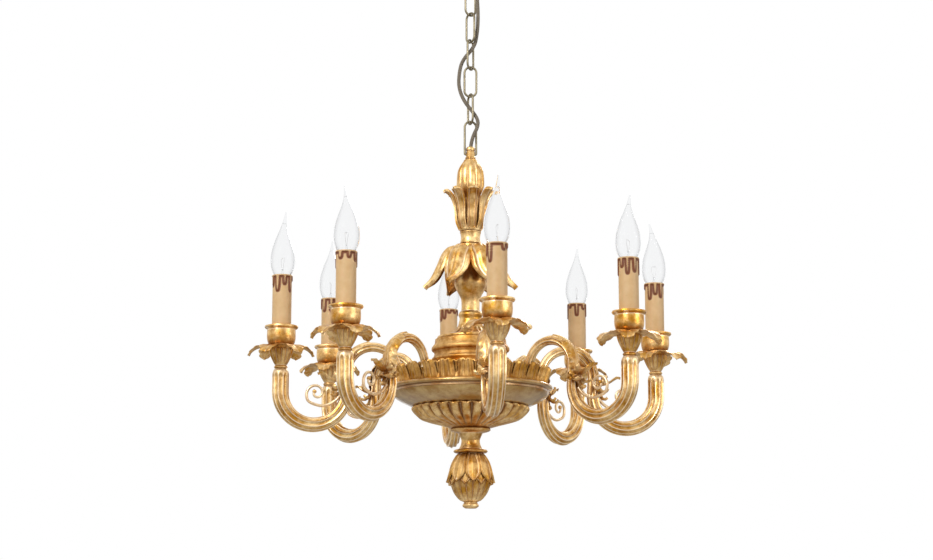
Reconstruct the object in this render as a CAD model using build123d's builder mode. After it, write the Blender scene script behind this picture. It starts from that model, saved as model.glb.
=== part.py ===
from build123d import *
import os
from math import cos, pi, radians, sin, sqrt, tan

# Gilt carved chandelier: eight curved arms on a turned stem, hung on a short chain from a ceiling hook.
# Millimetres, +Z up. The origin is on the ceiling plane, on the stem's axis. Arms stand every 45 degrees.

# Driving dimensions

# Ceiling hook: a screw, a flange and a bent wire
hook_wire = 4.5
hook_inner_radius = 8.0
hook_below_collar = 3.5
hook_turn = 115.0
hook_sway = 60.0
hook_end_lift = 35.0
screw_radius = 2.6
screw_length = 32.0
flange_radius = 9.0
flange_thickness = 2.0

# Ceiling canopy and its clamping collar
canopy_radius = 55.0
canopy_height = 48.0
canopy_edge = 4.0
canopy_shoulder_radius = 40.0
canopy_shoulder_drop = 28.0
canopy_wall = 2.0
collar_bore = 17.5
collar_wall = 5.0
collar_height = 13.0
thumb_shank_radius = 2.0
thumb_head_radius = 5.0
thumb_head_thickness = 4.0
thumb_stand_off = 1.5
thumb_clear = 0.05
thumb_tip_gap = 0.2

# Terminal block in the canopy
terminal_size = (20.0, 14.0, 12.0)
terminal_place = (24.0, -7.0)

# Chain: outer link sizes, and each link's turn about the vertical
link_length = 46.5
link_width = 20.0
link_wire = 3.1
link_play = 0.2
link_turns = [27.0, -56.0, 54.0, -7.0, -74.0]

# Wire bail, and the loop collar that its two inturned ends pivot in
bail_wire = 3.1
bail_height = 48.0
bail_side_gap = 0.4
pin_depth = 2.6
pin_clear = 0.08
loop_radius = 6.2
loop_neck = 15.0
pin_rise = 4.0
skirt_radius = 9.4
skirt_height = 6.0

# Supply cord, woven through the chain: x, y and drop below the ceiling
cord_diameter = 5.2
cord_route = [
    (terminal_place[0], terminal_place[1], terminal_size[2]),
    (23.0, -6.5, 26.0),
    (12.0, -3.0, 41.0),
    (8.5, -2.5, 56.0),
    (9.0, -2.5, 72.0),
    (10.5, -2.0, 92.0),
    (11.0, -1.0, 112.0),
    (9.5, -0.5, 132.0),
    (6.0, 0.5, 150.0),
    (-12.0, 1.0, 171.0),
    (-16.5, 0.0, 192.0),
    (-17.0, -1.0, 212.0),
    (-9.5, -0.5, 231.0),
    (3.5, -1.0, 247.0),
    (10.0, -5.5, 259.0),
    (9.5, -8.0, 270.0),
    (3.0, -7.0, 283.0),
    (0.0, 0.0, 297.0),
    (0.0, 0.0, 312.0),
]
cord_cuts = [4, 6, 8, 10, 12, 15]
cord_clear = 0.7
bend_share = 0.45

# Stem: a hollow threaded rod through turned pieces, each outline as (radius, height above its seat)
rod_radius = 5.0
rod_bore = 3.2
rod_grip = 4.0
bore_clear = 0.15
bud_line = [(12.0, 0), (18.6, 14), (19.7, 24), (17.7, 41.6), (9.9, 54)]
cup_height = 47.0
cup_core = 12.5
cup_foot = (14.8, 5.0)
cup_leaf_line = [(14.8, 5), (20.4, 16), (21.9, 28), (23.6, 39), (29.6, 51), (36.5, 60)]
cup_leaf_thickness = 2.8
cup_leaves = 8
cup_notch_depth = 26.0
cup_notch_share = 0.62
neck_height = 19.0
neck_radius = 14.8
neck_waist = 13.6
crown_height = 20.0
crown_hub = 15.4
crown_leaf_line = [(14.0, -9), (30.0, -3.5), (41.0, -18), (48.0, -35), (57.0, -51), (66.5, -61)]
crown_leaf_thickness = 3.5
crown_leaf_lean = 2.1
crown_leaves = 6
crown_leaf_half_width = 19.0
crown_widest_radius = 42.0
column_foot = [(15.3, 0), (15.3, 3)]
column_ring = [(15.3, 3), (16.8, 7), (15.0, 11)]
column_body = [(12.8, 11), (12.6, 20), (13.6, 30), (19.5, 42), (22.4, 51), (21.0, 60), (15.5, 75), (12.0, 87)]
base_edge = (46.0, 4.0)
base_curve = [(46.0, 4), (29.0, 9), (19.0, 17), (15.3, 28)]
drum_line = [(54, 0), (54, 21), (52.5, 23), (52.5, 33), (53.6, 35), (53.6, 38), (50, 41), (50, 48.5)]

# Hub: leaf band with its deck, bowl and lower bowl; each reach is counted from the arm roots' radius
band_reach = [(4.0, 0), (5.5, 8), (8.8, 17), (12.5, 26)]
band_wall = 2.2
rebate_reach = 1.0
deck_height = 16.5
deck_thickness = 8.0
arm_foot_gap = 0.5
bowl_reach = [(-2.0, 9), (6.6, 16), (11.5, 22)]
bowl_rim_reach = [(13.2, 25), (11.5, 28)]
bowl_floor = 5.0
lower_bowl_line = [(27.0, 0), (41.0, 4), (66.0, 11), (76.0, 18), (82.0, 26)]
lower_bowl_lip = [(82.0, 26), (80.5, 30)]
junction_size = (26.0, 18.0, 14.0)
junction_gap = 3.0

# Finial group
spool_low = (23.4, 4.0)
spool_curve = [(15.0, 7), (13.0, 18), (16.5, 28)]
spool_high = (27.6, 4.0)
spool_height = 34.0
finial_line = [(10.3, 0), (16.0, 3), (23.0, 11), (27.0, 19), (30.4, 27), (30.0, 37), (25.8, 51), (15.5, 64)]
finial_height = 67.0
finial_leaf_line = [(34.6, 27), (33.6, 37), (29.4, 51), (19.5, 64)]
finial_leaf_clear = 0.2
finial_leaves = 8
finial_notch_depth = 20.0
finial_notch_share = 0.6
button_line = [(8.0, 0), (11.2, 4), (9.4, 9)]
button_socket = 5.0

# Arms: an arch, a leg, a U bend and the candle leg, all in one upright plane
arm_count = 8
arm_root_radius = 100.0
arch_radius = 36.0
arch_leg = 27.5
u_radius = 45.0
candle_leg = 31.0
arm_thick_root = 12.0
arm_thick_arch = 14.4
arm_thick_u = 20.4
arm_thick_candle = 23.0
arm_thick_top = 18.4
arm_top_round = 11.0
bend_stations = 4
arm_bore = 2.5
arm_nipple_radius = 3.5
arm_nipple_bore = 2.6
arm_nipple_depth = 8.0
wire_radius = 1.4
wire_clear = 0.5
wire_tail = 6.0
nipple_clear = 0.1

# Acanthus leaf over each arm: turn round the arch, then a curled tip outside it
leaf_thickness = 2.6
leaf_edge = 0.9
leaf_round = 17.0
leaf_gap = 0.2
leaf_angles = [82.0, 72.0, 62.0, 52.0, 42.0, 32.0, 22.0]
leaf_widths = [11.0, 15.5, 19.0, 22.0, 24.0, 25.0, 25.0]
leaf_tip = [(12.5, 6.5), (21.5, 1.5), (31.0, 4.5), (36.5, 12.0), (31.0, 17.5)]
leaf_tip_turns = [-55.0, -10.0, 42.0, 95.0, 165.0]
leaf_tip_widths = [26.0, 25.0, 21.0, 14.0, 6.0]

# Wire scroll in each U bend: a lead-in arc, then shrinking quarter turns
scroll_wire = 4.0
scroll_start_drop = 2.0
scroll_bottom_drop = 19.0
scroll_bottom_out = 38.0
scroll_quarters = [19.0, 12.5, 8.0, 4.5]
scroll_ball = 3.0

# Candle unit on each arm: drip pan, cup, sleeve, lampholder, hollow nipple
pan_calyx = [(7.6, 0), (9.2, 2.6), (7.8, 5), (11.5, 11), (16.2, 20), (17.0, 27), (15.5, 32)]
pan_leaf_line = [(14.0, 30.0), (25.0, 31.0), (36.0, 27.5), (44.0, 21.0)]
pan_leaf_thickness = 2.4
pan_leaves = 6
pan_leaf_half_width = 15.0
pan_widest_radius = 30.0
cup_wall_line = [(15.5, 2), (18.8, 9), (20.6, 18), (20.0, 23)]
cup_rim = [(20.0, 23), (22.7, 24.5), (22.7, 28)]
cup_pocket_depth = 20.0
sleeve_radius = 13.5
sleeve_wall = 1.3
sleeve_length = 90.0
sleeve_clear = 0.3
holder_radius = 11.6
holder_sink = 8.0
socket_depth = 27.0
socket_clear = 0.3
candle_nipple_radius = 4.0
candle_nipple_bore = 2.5
candle_nipple_up = 10.0
candle_nipple_down = 14.0

# Bulb: screw cap and a blown glass flame with a bent tip, glass as (radius, height above the cap)
cap_radius = 6.9
cap_contact_radius = 3.0
cap_contact_height = 2.0
cap_rest_gap = 0.3
glass_line = [(7.0, 0), (10.6, 7), (14.8, 14), (17.4, 25), (16.4, 41), (11.6, 57), (6.4, 70), (3.3, 80),
              (1.8, 88), (0.9, 96)]
glass_wall = 0.9
glass_hollow_to = 8
tip_bend = 7.0
tip_bend_power = 1.6
tip_bend_from = 60.0
tip_turns = [200.0, 20.0, 160.0, 300.0, 120.0, 250.0, 10.0, 90.0]

# Levels, worked down from the ceiling

stem_bore = rod_radius + bore_clear
loop_bore = cord_diameter / 2 + cord_clear
link_half = (link_length - link_wire) / 2
link_side = (link_width - link_wire) / 2
collar_z = -canopy_height - collar_height
hook_bottom_z = collar_z - hook_below_collar
hook_radius = hook_inner_radius + hook_wire / 2
link_centres = []
bearing_z = hook_bottom_z + hook_wire / 2 + link_wire / 2 + link_play
for turn in link_turns:
    link_centres.append(bearing_z - link_half)
    bearing_z = bearing_z - 2 * link_half + link_wire + link_play
bail_top_z = bearing_z + (bail_wire - link_wire) / 2
pin_z = bail_top_z - bail_height
skirt_top_z = pin_z - pin_rise
bud_top_z = skirt_top_z - skirt_height
bud_z = bud_top_z - bud_line[-1][1]
cup_z = bud_z - cup_height
neck_z = cup_z - neck_height
crown_z = neck_z - crown_height
column_z = crown_z - column_body[-1][1]
base_z = column_z - base_curve[-1][1]
drum_z = base_z - drum_line[-1][1]
band_z = drum_z - deck_height
bowl_z = band_z - bowl_rim_reach[-1][1]
lower_bowl_z = bowl_z - lower_bowl_lip[-1][1]
spool_z = lower_bowl_z - spool_height
finial_z = spool_z - finial_height
button_z = finial_z - button_line[-1][1]

# Arm levels and the candle's place
arch_centre = arm_root_radius + arch_radius
leg_radius = arch_centre + arch_radius
arm_reach = leg_radius + 2 * u_radius
u_z = drum_z - arch_leg
candle_z = u_z + candle_leg
pan_top_z = candle_z + pan_calyx[-1][1]
cup_floor_z = pan_top_z + cup_rim[-1][1] - cup_pocket_depth
holder_length = sleeve_length - holder_sink
holder_top_z = cup_floor_z + holder_length
socket_floor_z = holder_top_z - socket_depth


def save(piece, name):
    """Labels a finished piece and writes its file."""
    piece.label = name
    export_step(piece, "parts/" + name + ".step")


def turned(stretches, seat_z):
    """Turns a closed outline about the stem's axis; a stretch of two points is straight, a longer smooth."""
    with BuildPart() as piece:
        with BuildSketch(Plane.XZ):
            with BuildLine():
                for stretch in stretches:
                    points = [(radius, seat_z + height) for radius, height in stretch]
                    if len(points) == 2:
                        Line(*points)
                    else:
                        Spline(*points)
            make_face()
        revolve(axis=Axis.Z)
    return piece.part


def bored(outline, bore, seat_z):
    """Turns an outline that starts at its foot and ends at its top, closed along a bore."""
    foot = outline[0][0]
    top = outline[-1][-1]
    ends = [[top, (bore, top[1])], [(bore, top[1]), (bore, foot[1])], [(bore, foot[1]), foot]]
    return turned(outline + ends, seat_z)


def chained(points):
    """Straight stretches through a row of points."""
    return [list(pair) for pair in zip(points[:-1], points[1:])]


def placed_on_candle(piece):
    """One candle piece moved from the stem's axis to the first arm's candle."""
    with BuildPart() as moved:
        with Locations((arm_reach, 0, 0)):
            add(piece)
    return moved.part


def around(piece):
    """A copy of a first arm's piece for every arm."""
    with BuildPart() as group:
        with PolarLocations(0, arm_count):
            add(piece)
    return group.part


def on_arm(piece, number):
    """A copy of a first arm's piece, turned to the numbered arm."""
    with BuildPart() as copy:
        with PolarLocations(0, 1, start_angle=360 / arm_count * number):
            add(piece)
    return copy.part


def tube(length, outer, inner, low_z):
    """A round tube on the stem's axis."""
    with BuildPart() as piece:
        with BuildSketch(Plane.XY.offset(low_z)):
            Circle(outer)
            Circle(inner, mode=Mode.SUBTRACT)
        extrude(amount=length)
    return piece.part


def wire_along(path, radius):
    """A round wire swept along a path."""
    with BuildPart() as wire:
        with BuildSketch(Plane(path @ 0, z_dir=path % 0)):
            Circle(radius)
        sweep(path=path)
    return wire.part


os.makedirs("parts", exist_ok=True)

# Ceiling hook

hook_plane = Plane((0, 0, 0), x_dir=(cos(radians(hook_turn)), sin(radians(hook_turn)), 0),
                   z_dir=(sin(radians(hook_turn)), -cos(radians(hook_turn)), 0))
sway_radius = hook_radius / (2 * (1 - cos(radians(hook_sway))))
sway_drop = sway_radius * sin(radians(hook_sway))
ring_z = hook_bottom_z + hook_radius
end_angle = radians(hook_end_lift)

with BuildLine(hook_plane) as hook_path:
    shank = Line((0, -flange_thickness), (0, ring_z + 2 * sway_drop))
    out_bend = TangentArc(shank @ 1, (-hook_radius / 2, ring_z + sway_drop), tangent=shank % 1)
    back_bend = TangentArc(out_bend @ 1, (-hook_radius, ring_z), tangent=out_bend % 1)
    lower_half = TangentArc(back_bend @ 1, (hook_radius, ring_z), tangent=back_bend % 1)
    TangentArc(lower_half @ 1, (hook_radius * cos(end_angle), ring_z + hook_radius * sin(end_angle)),
               tangent=lower_half % 1)

with BuildPart() as ceiling_hook:
    with BuildSketch(Plane.XY.offset(-flange_thickness)):
        Circle(hook_wire / 2)
    sweep(path=hook_path.wires()[0])
    with BuildSketch(Plane.XY.offset(-flange_thickness)):
        Circle(flange_radius)
    extrude(amount=flange_thickness)
    with BuildSketch():
        Circle(screw_radius)
    extrude(amount=screw_length)
save(ceiling_hook.part, "ceiling_hook")

# Canopy with its collar and thumb screw

shoulder_r, shoulder_h = canopy_shoulder_radius, canopy_height - canopy_shoulder_drop
canopy_foot = collar_bore + collar_wall
canopy_hole = canopy_foot - canopy_wall
canopy_inner = canopy_radius - canopy_wall
edge_low = canopy_height - canopy_edge
canopy_part = turned(
    [
        [(canopy_hole, 0), (canopy_foot, 0)],
        [(canopy_foot, 0), (shoulder_r, shoulder_h), (canopy_radius, edge_low)],
        [(canopy_radius, edge_low), (canopy_radius, canopy_height)],
        [(canopy_radius, canopy_height), (canopy_inner, canopy_height)],
        [(canopy_inner, canopy_height), (canopy_inner, edge_low)],
        [
            (canopy_inner, edge_low),
            (shoulder_r - canopy_wall, shoulder_h + canopy_wall),
            (canopy_hole, canopy_wall),
        ],
        [(canopy_hole, canopy_wall), (canopy_hole, 0)],
    ],
    -canopy_height,
)
save(canopy_part, "canopy")

thumb_tip = hook_radius + hook_wire / 2 + thumb_tip_gap
thumb_direction = (-cos(radians(hook_turn)), -sin(radians(hook_turn)), 0)
thumb_plane = Plane((0, 0, ring_z), z_dir=thumb_direction)
thumb_head_at = collar_bore + collar_wall + thumb_stand_off

with BuildPart() as canopy_collar:
    with BuildSketch(Plane.XY.offset(collar_z)):
        Circle(collar_bore + collar_wall)
        Circle(collar_bore, mode=Mode.SUBTRACT)
    extrude(amount=collar_height)
    with BuildSketch(thumb_plane):
        Circle(thumb_shank_radius + thumb_clear)
    extrude(amount=collar_bore + 2 * collar_wall, mode=Mode.SUBTRACT)
save(canopy_collar.part, "canopy_collar")

with BuildPart() as collar_screw:
    with BuildSketch(thumb_plane.offset(thumb_tip)):
        Circle(thumb_shank_radius)
    extrude(amount=thumb_head_at - thumb_tip)
    with BuildSketch(thumb_plane.offset(thumb_head_at)):
        Circle(thumb_head_radius)
    extrude(amount=thumb_head_thickness)
save(collar_screw.part, "collar_screw")

with BuildPart() as terminal_block:
    with BuildSketch(Plane((terminal_place[0], terminal_place[1], 0), z_dir=(0, 0, -1))):
        Rectangle(terminal_size[0], terminal_size[1])
    extrude(amount=terminal_size[2])
save(terminal_block.part, "terminal_block")

# Chain

for number, turn in enumerate(link_turns):
    link_plane = Plane((0, 0, link_centres[number]), x_dir=(cos(radians(turn)), sin(radians(turn)), 0),
                       z_dir=(sin(radians(turn)), -cos(radians(turn)), 0))
    straight = link_half - link_side
    with BuildLine(link_plane) as link_path:
        right = Line((link_side, -straight), (link_side, straight))
        top = TangentArc(right @ 1, (-link_side, straight), tangent=right % 1)
        left = Line(top @ 1, (-link_side, -straight))
        TangentArc(left @ 1, right @ 0, tangent=left % 1)
    with BuildPart() as chain_link:
        with BuildSketch(Plane(right @ 0, z_dir=right % 0)):
            Circle(link_wire / 2)
        sweep(path=link_path.wires()[0])
    save(chain_link.part, "chain_link_" + str(number + 1))

# Bail and loop collar

bail_side = loop_radius + bail_side_gap + bail_wire / 2
pin_reach = loop_radius - pin_depth
corner = bail_wire

with BuildLine(Plane.XZ) as bail_path:
    near_pin = Line((-pin_reach, pin_z), (-bail_side + corner / 2, pin_z))
    near_turn = TangentArc(near_pin @ 1, (-bail_side, pin_z + corner / 2), tangent=near_pin % 1)
    near_leg = Line(near_turn @ 1, (-bail_side, bail_top_z - bail_side))
    bow = TangentArc(near_leg @ 1, (bail_side, bail_top_z - bail_side), tangent=near_leg % 1)
    far_leg = Line(bow @ 1, (bail_side, pin_z + corner / 2))
    far_turn = TangentArc(far_leg @ 1, (bail_side - corner / 2, pin_z), tangent=far_leg % 1)
    Line(far_turn @ 1, (pin_reach, pin_z))

with BuildPart() as bail:
    with BuildSketch(Plane(near_pin @ 0, z_dir=near_pin % 0)):
        Circle(bail_wire / 2)
    sweep(path=bail_path.wires()[0])
save(bail.part, "bail")

with BuildPart() as loop_collar:
    with BuildSketch(Plane.XY.offset(bud_top_z)):
        Circle(skirt_radius)
    extrude(amount=skirt_height)
    with BuildSketch(Plane.XY.offset(skirt_top_z)):
        Circle(loop_radius)
    extrude(amount=loop_neck)
    with BuildSketch(Plane.XY.offset(bud_top_z)):
        Circle(loop_bore)
    extrude(amount=skirt_height + loop_neck, mode=Mode.SUBTRACT)
    with BuildSketch(Plane.XY.offset(bud_top_z)):
        Circle(stem_bore)
    extrude(amount=rod_grip, mode=Mode.SUBTRACT)
    with BuildSketch(Plane((0, 0, pin_z), z_dir=(1, 0, 0))):
        Circle(bail_wire / 2 + pin_clear)
    extrude(amount=loop_radius, both=True, mode=Mode.SUBTRACT)
save(loop_collar.part, "loop_collar")

# Supply cord, in spans that meet at the middle of each link

cord_points = [Vector(x, y, -drop) for x, y, drop in cord_route]
cord_radii = []
for before, at, after in zip(cord_points[:-2], cord_points[1:-1], cord_points[2:]):
    run = min((at - before).length, (after - at).length)
    half_turn = radians((at - before).get_angle(after - at)) / 2
    cord_radii.append(bend_share * run / tan(half_turn))
print("cord bend radii", [round(radius, 1) for radius in cord_radii])

span_marks = [0] + cord_cuts + [len(cord_points) - 1]
cord_length = 0
for number, (low, high) in enumerate(zip(span_marks[:-1], span_marks[1:])):
    inner = cord_points[low + 1:high + 1]
    radii = cord_radii[low:high]
    start = (cord_points[low] + cord_points[low + 1]) / 2
    end = (cord_points[high] + cord_points[high + 1]) / 2 if high in cord_cuts else cord_points[high]
    if low == 0:
        start = cord_points[0]
    if high not in cord_cuts:
        inner = inner[:-1]
        radii = radii[:len(inner)]
    with BuildLine() as span_path:
        FilletPolyline(start, *inner, end, radius=radii)
    path = span_path.wires()[0]
    cord_length += path.length
    span = wire_along(path, cord_diameter / 2)
    print("cord span", number, round(span.volume / (pi * cord_diameter ** 2 / 4 * path.length), 4))
    save(span, "supply_cord_" + str(number + 1))
print("cord length", round(cord_length, 1))

# Stem

rod_low_z = button_z + button_line[-1][1] - button_socket
rod_top_z = bud_top_z + rod_grip
center_rod = tube(rod_top_z - rod_low_z, rod_radius, rod_bore, rod_low_z)
save(center_rod, "center_rod")

bud_part = bored([bud_line], stem_bore, bud_z)
save(bud_part, "bud")


def notch_cutter(low_z, high_z, half_width, reach):
    """A wedge that points down from the gap between two leaf tips, or up where high is the lower end."""
    with BuildPart() as wedge:
        with BuildSketch(Plane.YZ):
            with BuildLine():
                Polyline((0, low_z), (half_width, high_z), (-half_width, high_z), close=True)
            make_face()
        extrude(amount=reach)
    return wedge.part


cup_tip_r, cup_tip_h = cup_leaf_line[-1]
cup_inside = [(radius - cup_leaf_thickness, height) for radius, height in cup_leaf_line[1:-1]]
cup_tip_inside = (cup_tip_r - cup_leaf_thickness / 2, cup_tip_h + cup_leaf_thickness / 4)
cup_lowest_inside = cup_inside[0]
cup_body = turned(
    [
        [(stem_bore, 0), (cup_foot[0], 0)],
        [(cup_foot[0], 0), cup_foot],
        cup_leaf_line,
        [cup_leaf_line[-1], cup_tip_inside],
        [cup_tip_inside] + cup_inside[::-1],
        [cup_lowest_inside, (cup_core, cup_lowest_inside[1])],
        [(cup_core, cup_lowest_inside[1]), (cup_core, cup_height)],
        [(cup_core, cup_height), (stem_bore, cup_height)],
        [(stem_bore, cup_height), (stem_bore, 0)],
    ],
    cup_z,
)
cup_notch = notch_cutter(
    cup_z + cup_tip_h - cup_notch_depth,
    cup_z + cup_tip_h + cup_leaf_thickness,
    cup_notch_share * cup_tip_r * sin(pi / cup_leaves),
    2 * cup_tip_r,
)
with BuildPart() as notch_shell:
    add(cup_notch)
    with BuildSketch(Plane.XY.offset(cup_z)):
        Circle(cup_core)
    extrude(amount=2 * cup_tip_h, mode=Mode.SUBTRACT)
with BuildPart() as leaf_cup:
    add(cup_body)
    with PolarLocations(0, cup_leaves, start_angle=180 / cup_leaves):
        add(notch_shell.part, mode=Mode.SUBTRACT)
save(leaf_cup.part, "leaf_cup")

stem_neck = bored(
    [[(neck_radius, 0), (neck_waist, neck_height / 2), (neck_radius, neck_height)]], stem_bore, neck_z
)
save(stem_neck, "stem_neck")

# Drooping leaf crown: a turned bell cut to six pointed leaves in plan

crown_reach = crown_leaf_line[-1][0]
crown_top = [(radius, crown_height + height) for radius, height in crown_leaf_line]
crown_under = [(radius - crown_leaf_lean, height - crown_leaf_thickness) for radius, height in crown_top]
crown_bell = turned(
    [crown_top, [crown_top[-1], crown_under[-1]], crown_under[::-1], [crown_under[0], crown_top[0]]], crown_z
)


def leaf_outline(half_root, widest_radius, half_width, tip_radius):
    """The plan of one pointed leaf that grows along +X from the axis."""
    with BuildSketch() as outline:
        with BuildLine():
            near = ThreePointArc((0, -half_root), (widest_radius, -half_width), (tip_radius, 0))
            far = ThreePointArc(near @ 1, (widest_radius, half_width), (0, half_root))
            Line(far @ 1, near @ 0)
        make_face()
    return outline.sketch


def leaf_prism(leaf, count, first_turn, core_radius, low_z, height):
    """An upright block whose plan is a ring of leaves about a round core."""
    with BuildPart() as prism:
        with BuildSketch(Plane.XY.offset(low_z)):
            Circle(core_radius)
            with PolarLocations(0, count, start_angle=first_turn):
                add(leaf)
        extrude(amount=height)
    return prism.part


crown_leaf = leaf_outline(crown_hub / 2, crown_widest_radius, crown_leaf_half_width, crown_reach)
crown_depth = crown_height - crown_under[-1][1]
crown_prism = leaf_prism(crown_leaf, crown_leaves, 0, crown_hub, crown_z + crown_under[-1][1],
                         crown_depth + crown_height)
with BuildPart() as leaf_crown:
    add(crown_bell)
    add(crown_prism, mode=Mode.INTERSECT)
    with BuildSketch(Plane.XY.offset(crown_z)):
        Circle(crown_hub)
    extrude(amount=crown_height)
    with BuildSketch(Plane.XY.offset(crown_z)):
        Circle(stem_bore)
    extrude(amount=crown_height, mode=Mode.SUBTRACT)
save(leaf_crown.part, "leaf_crown")

column_part = bored(
    [column_foot, column_ring, [column_ring[-1], column_body[0]], column_body], stem_bore, column_z
)
save(column_part, "column")

column_base = bored([[(base_edge[0], 0), base_edge], base_curve], stem_bore, base_z)
save(column_base, "column_base")

hub_drum = bored(chained(drum_line), stem_bore, drum_z)
save(hub_drum, "hub_drum")

# Hub

band_line = [(arm_root_radius + reach, height) for reach, height in band_reach]
band_rebate = arm_root_radius + rebate_reach
band_top = band_line[-1]
band_lip = (band_top[0] - band_wall, band_top[1])
deck_edge = arm_root_radius + arm_thick_root / 2 + arm_foot_gap
deck_under = deck_height - deck_thickness
leaf_band_body = turned(
    [
        band_line,
        [band_top, band_lip],
        [band_lip, (deck_edge, deck_height)],
        [(deck_edge, deck_height), (stem_bore, deck_height)],
        [(stem_bore, deck_height), (stem_bore, deck_under)],
        [(stem_bore, deck_under), (band_rebate, deck_under)],
        [(band_rebate, deck_under), (band_rebate, 0)],
        [(band_rebate, 0), band_line[0]],
    ],
    band_z,
)
with BuildPart() as leaf_band:
    add(leaf_band_body)
    with BuildSketch(Plane.XY.offset(band_z + deck_under)):
        with PolarLocations(arm_root_radius, arm_count):
            Circle(arm_nipple_radius + nipple_clear)
    extrude(amount=deck_thickness, mode=Mode.SUBTRACT)
    with BuildSketch(Plane.XY.offset(band_z)):
        with PolarLocations(arm_root_radius, arm_count):
            Circle(wire_radius + wire_clear)
    extrude(amount=deck_under, mode=Mode.SUBTRACT)
save(leaf_band.part, "leaf_band")

bowl_foot = (lower_bowl_line[-1][0], 0)
bowl_line = [bowl_foot] + [(arm_root_radius + reach, height) for reach, height in bowl_reach]
bowl_rim = [bowl_line[-1]] + [(arm_root_radius + reach, height) for reach, height in bowl_rim_reach]
bowl_top = bowl_rim[-1]
bowl_wall = bowl_top[0] - band_rebate
bowl_inside = [(radius - bowl_wall, height + bowl_floor) for radius, height in bowl_line]
bowl_part = turned(
    [
        bowl_line,
        bowl_rim,
        [bowl_top, (band_rebate, bowl_top[1])],
        [(band_rebate, bowl_top[1]), bowl_inside[-1]],
        bowl_inside[::-1],
        [bowl_inside[0], (stem_bore, bowl_floor)],
        [(stem_bore, bowl_floor), (stem_bore, 0)],
        [(stem_bore, 0), bowl_line[0]],
    ],
    bowl_z,
)
save(bowl_part, "bowl")

lower_bowl = bored([lower_bowl_line, lower_bowl_lip], stem_bore, lower_bowl_z)
save(lower_bowl, "lower_bowl")

with BuildPart() as junction_block:
    with BuildSketch(Plane((0, stem_bore + junction_gap + junction_size[1] / 2, bowl_z + bowl_floor))):
        Rectangle(junction_size[0], junction_size[1])
    extrude(amount=junction_size[2])
save(junction_block.part, "junction_block")

# Finial group

spool_part = bored(
    [
        [(spool_low[0], 0), spool_low],
        [spool_low, spool_curve[0]],
        spool_curve,
        [spool_curve[-1], (spool_high[0], spool_height - spool_high[1])],
        [(spool_high[0], spool_height - spool_high[1]), (spool_high[0], spool_height)],
    ],
    stem_bore,
    spool_z,
)
save(spool_part, "neck_spool")

finial_shoulder = finial_line[-1]
finial_part = bored(
    [finial_line, [finial_shoulder, (finial_shoulder[0], finial_height)]], stem_bore, finial_z
)
save(finial_part, "finial")

finial_room_line = [(radius + finial_leaf_clear, height) for radius, height in finial_line]
finial_room = bored([finial_room_line], 0, finial_z)
finial_tip_r, finial_tip_h = finial_leaf_line[0]
finial_notch = notch_cutter(
    finial_z + finial_tip_h + finial_notch_depth,
    finial_z + finial_tip_h - finial_notch_depth / 4,
    finial_notch_share * finial_tip_r * sin(pi / finial_leaves),
    2 * finial_tip_r,
)
with BuildPart() as finial_leaf_cup:
    add(bored([finial_leaf_line], stem_bore, finial_z))
    add(finial_room, mode=Mode.SUBTRACT)
    with PolarLocations(0, finial_leaves, start_angle=180 / finial_leaves):
        add(finial_notch, mode=Mode.SUBTRACT)
save(finial_leaf_cup.part, "finial_leaves")

button_top = button_line[-1][1]
button_part = turned(
    [
        [(0, 0), button_line[0]],
        button_line,
        [button_line[-1], (stem_bore, button_top)],
        [(stem_bore, button_top), (stem_bore, button_top - button_socket)],
        [(stem_bore, button_top - button_socket), (0, button_top - button_socket)],
        [(0, button_top - button_socket), (0, 0)],
    ],
    button_z,
)
save(button_part, "finial_button")

# Arms, built once on the +X side

with BuildLine(Plane.XZ) as arm_path:
    candle_line = Line((arm_reach, candle_z), (arm_reach, u_z))
    u_bend = TangentArc(candle_line @ 1, (leg_radius, u_z), tangent=candle_line % 1)
    leg_line = Line(u_bend @ 1, (leg_radius, drum_z))
    arch_bend = TangentArc(leg_line @ 1, (arm_root_radius, drum_z), tangent=leg_line % 1)
arm_wire = arm_path.wires()[0]

arm_thick_leg = (arm_thick_u + arm_thick_arch) / 2
arm_stations = [
    (candle_line, 0, arm_thick_top),
    (candle_line, arm_top_round / candle_leg, arm_thick_candle),
    (candle_line, 1, arm_thick_candle),
]
for number in range(1, bend_stations):
    step = number / bend_stations
    share = 1 - abs(1 - 2 * step)
    end_thickness = arm_thick_candle if 2 * number < bend_stations else arm_thick_leg
    arm_stations.append((u_bend, step, end_thickness + (arm_thick_u - end_thickness) * share))
arm_stations.append((leg_line, 0, arm_thick_leg))
arm_stations.append((leg_line, 1, arm_thick_arch))
for number in range(1, bend_stations + 1):
    step = number / bend_stations
    arm_stations.append((arch_bend, step, arm_thick_arch + (arm_thick_root - arm_thick_arch) * step))

with BuildPart() as arm_body:
    for edge, step, thickness in arm_stations:
        with BuildSketch(Plane(edge @ step, x_dir=(0, 1, 0), z_dir=edge % step)):
            Circle(thickness / 2)
    loft()
arm_core = wire_along(arm_wire, arm_bore)
with BuildPart() as arm:
    add(arm_body.part)
    add(arm_core, mode=Mode.SUBTRACT)
    with BuildSketch(Plane((arm_reach, 0, candle_z), z_dir=(0, 0, -1))):
        Circle(candle_nipple_radius + nipple_clear)
    extrude(amount=candle_nipple_down, mode=Mode.SUBTRACT)
    with BuildSketch(Plane((arm_root_radius, 0, drum_z))):
        Circle(arm_nipple_radius + nipple_clear)
    extrude(amount=arm_nipple_depth, mode=Mode.SUBTRACT)
for number in range(arm_count):
    save(on_arm(arm.part, number), "arm_" + str(number + 1))

with BuildPart() as arm_nipple:
    with BuildSketch(Plane((arm_root_radius, 0, drum_z - deck_thickness))):
        Circle(arm_nipple_radius)
        Circle(arm_nipple_bore, mode=Mode.SUBTRACT)
    extrude(amount=deck_thickness + arm_nipple_depth)
save(around(arm_nipple.part), "arm_nipples")

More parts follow.
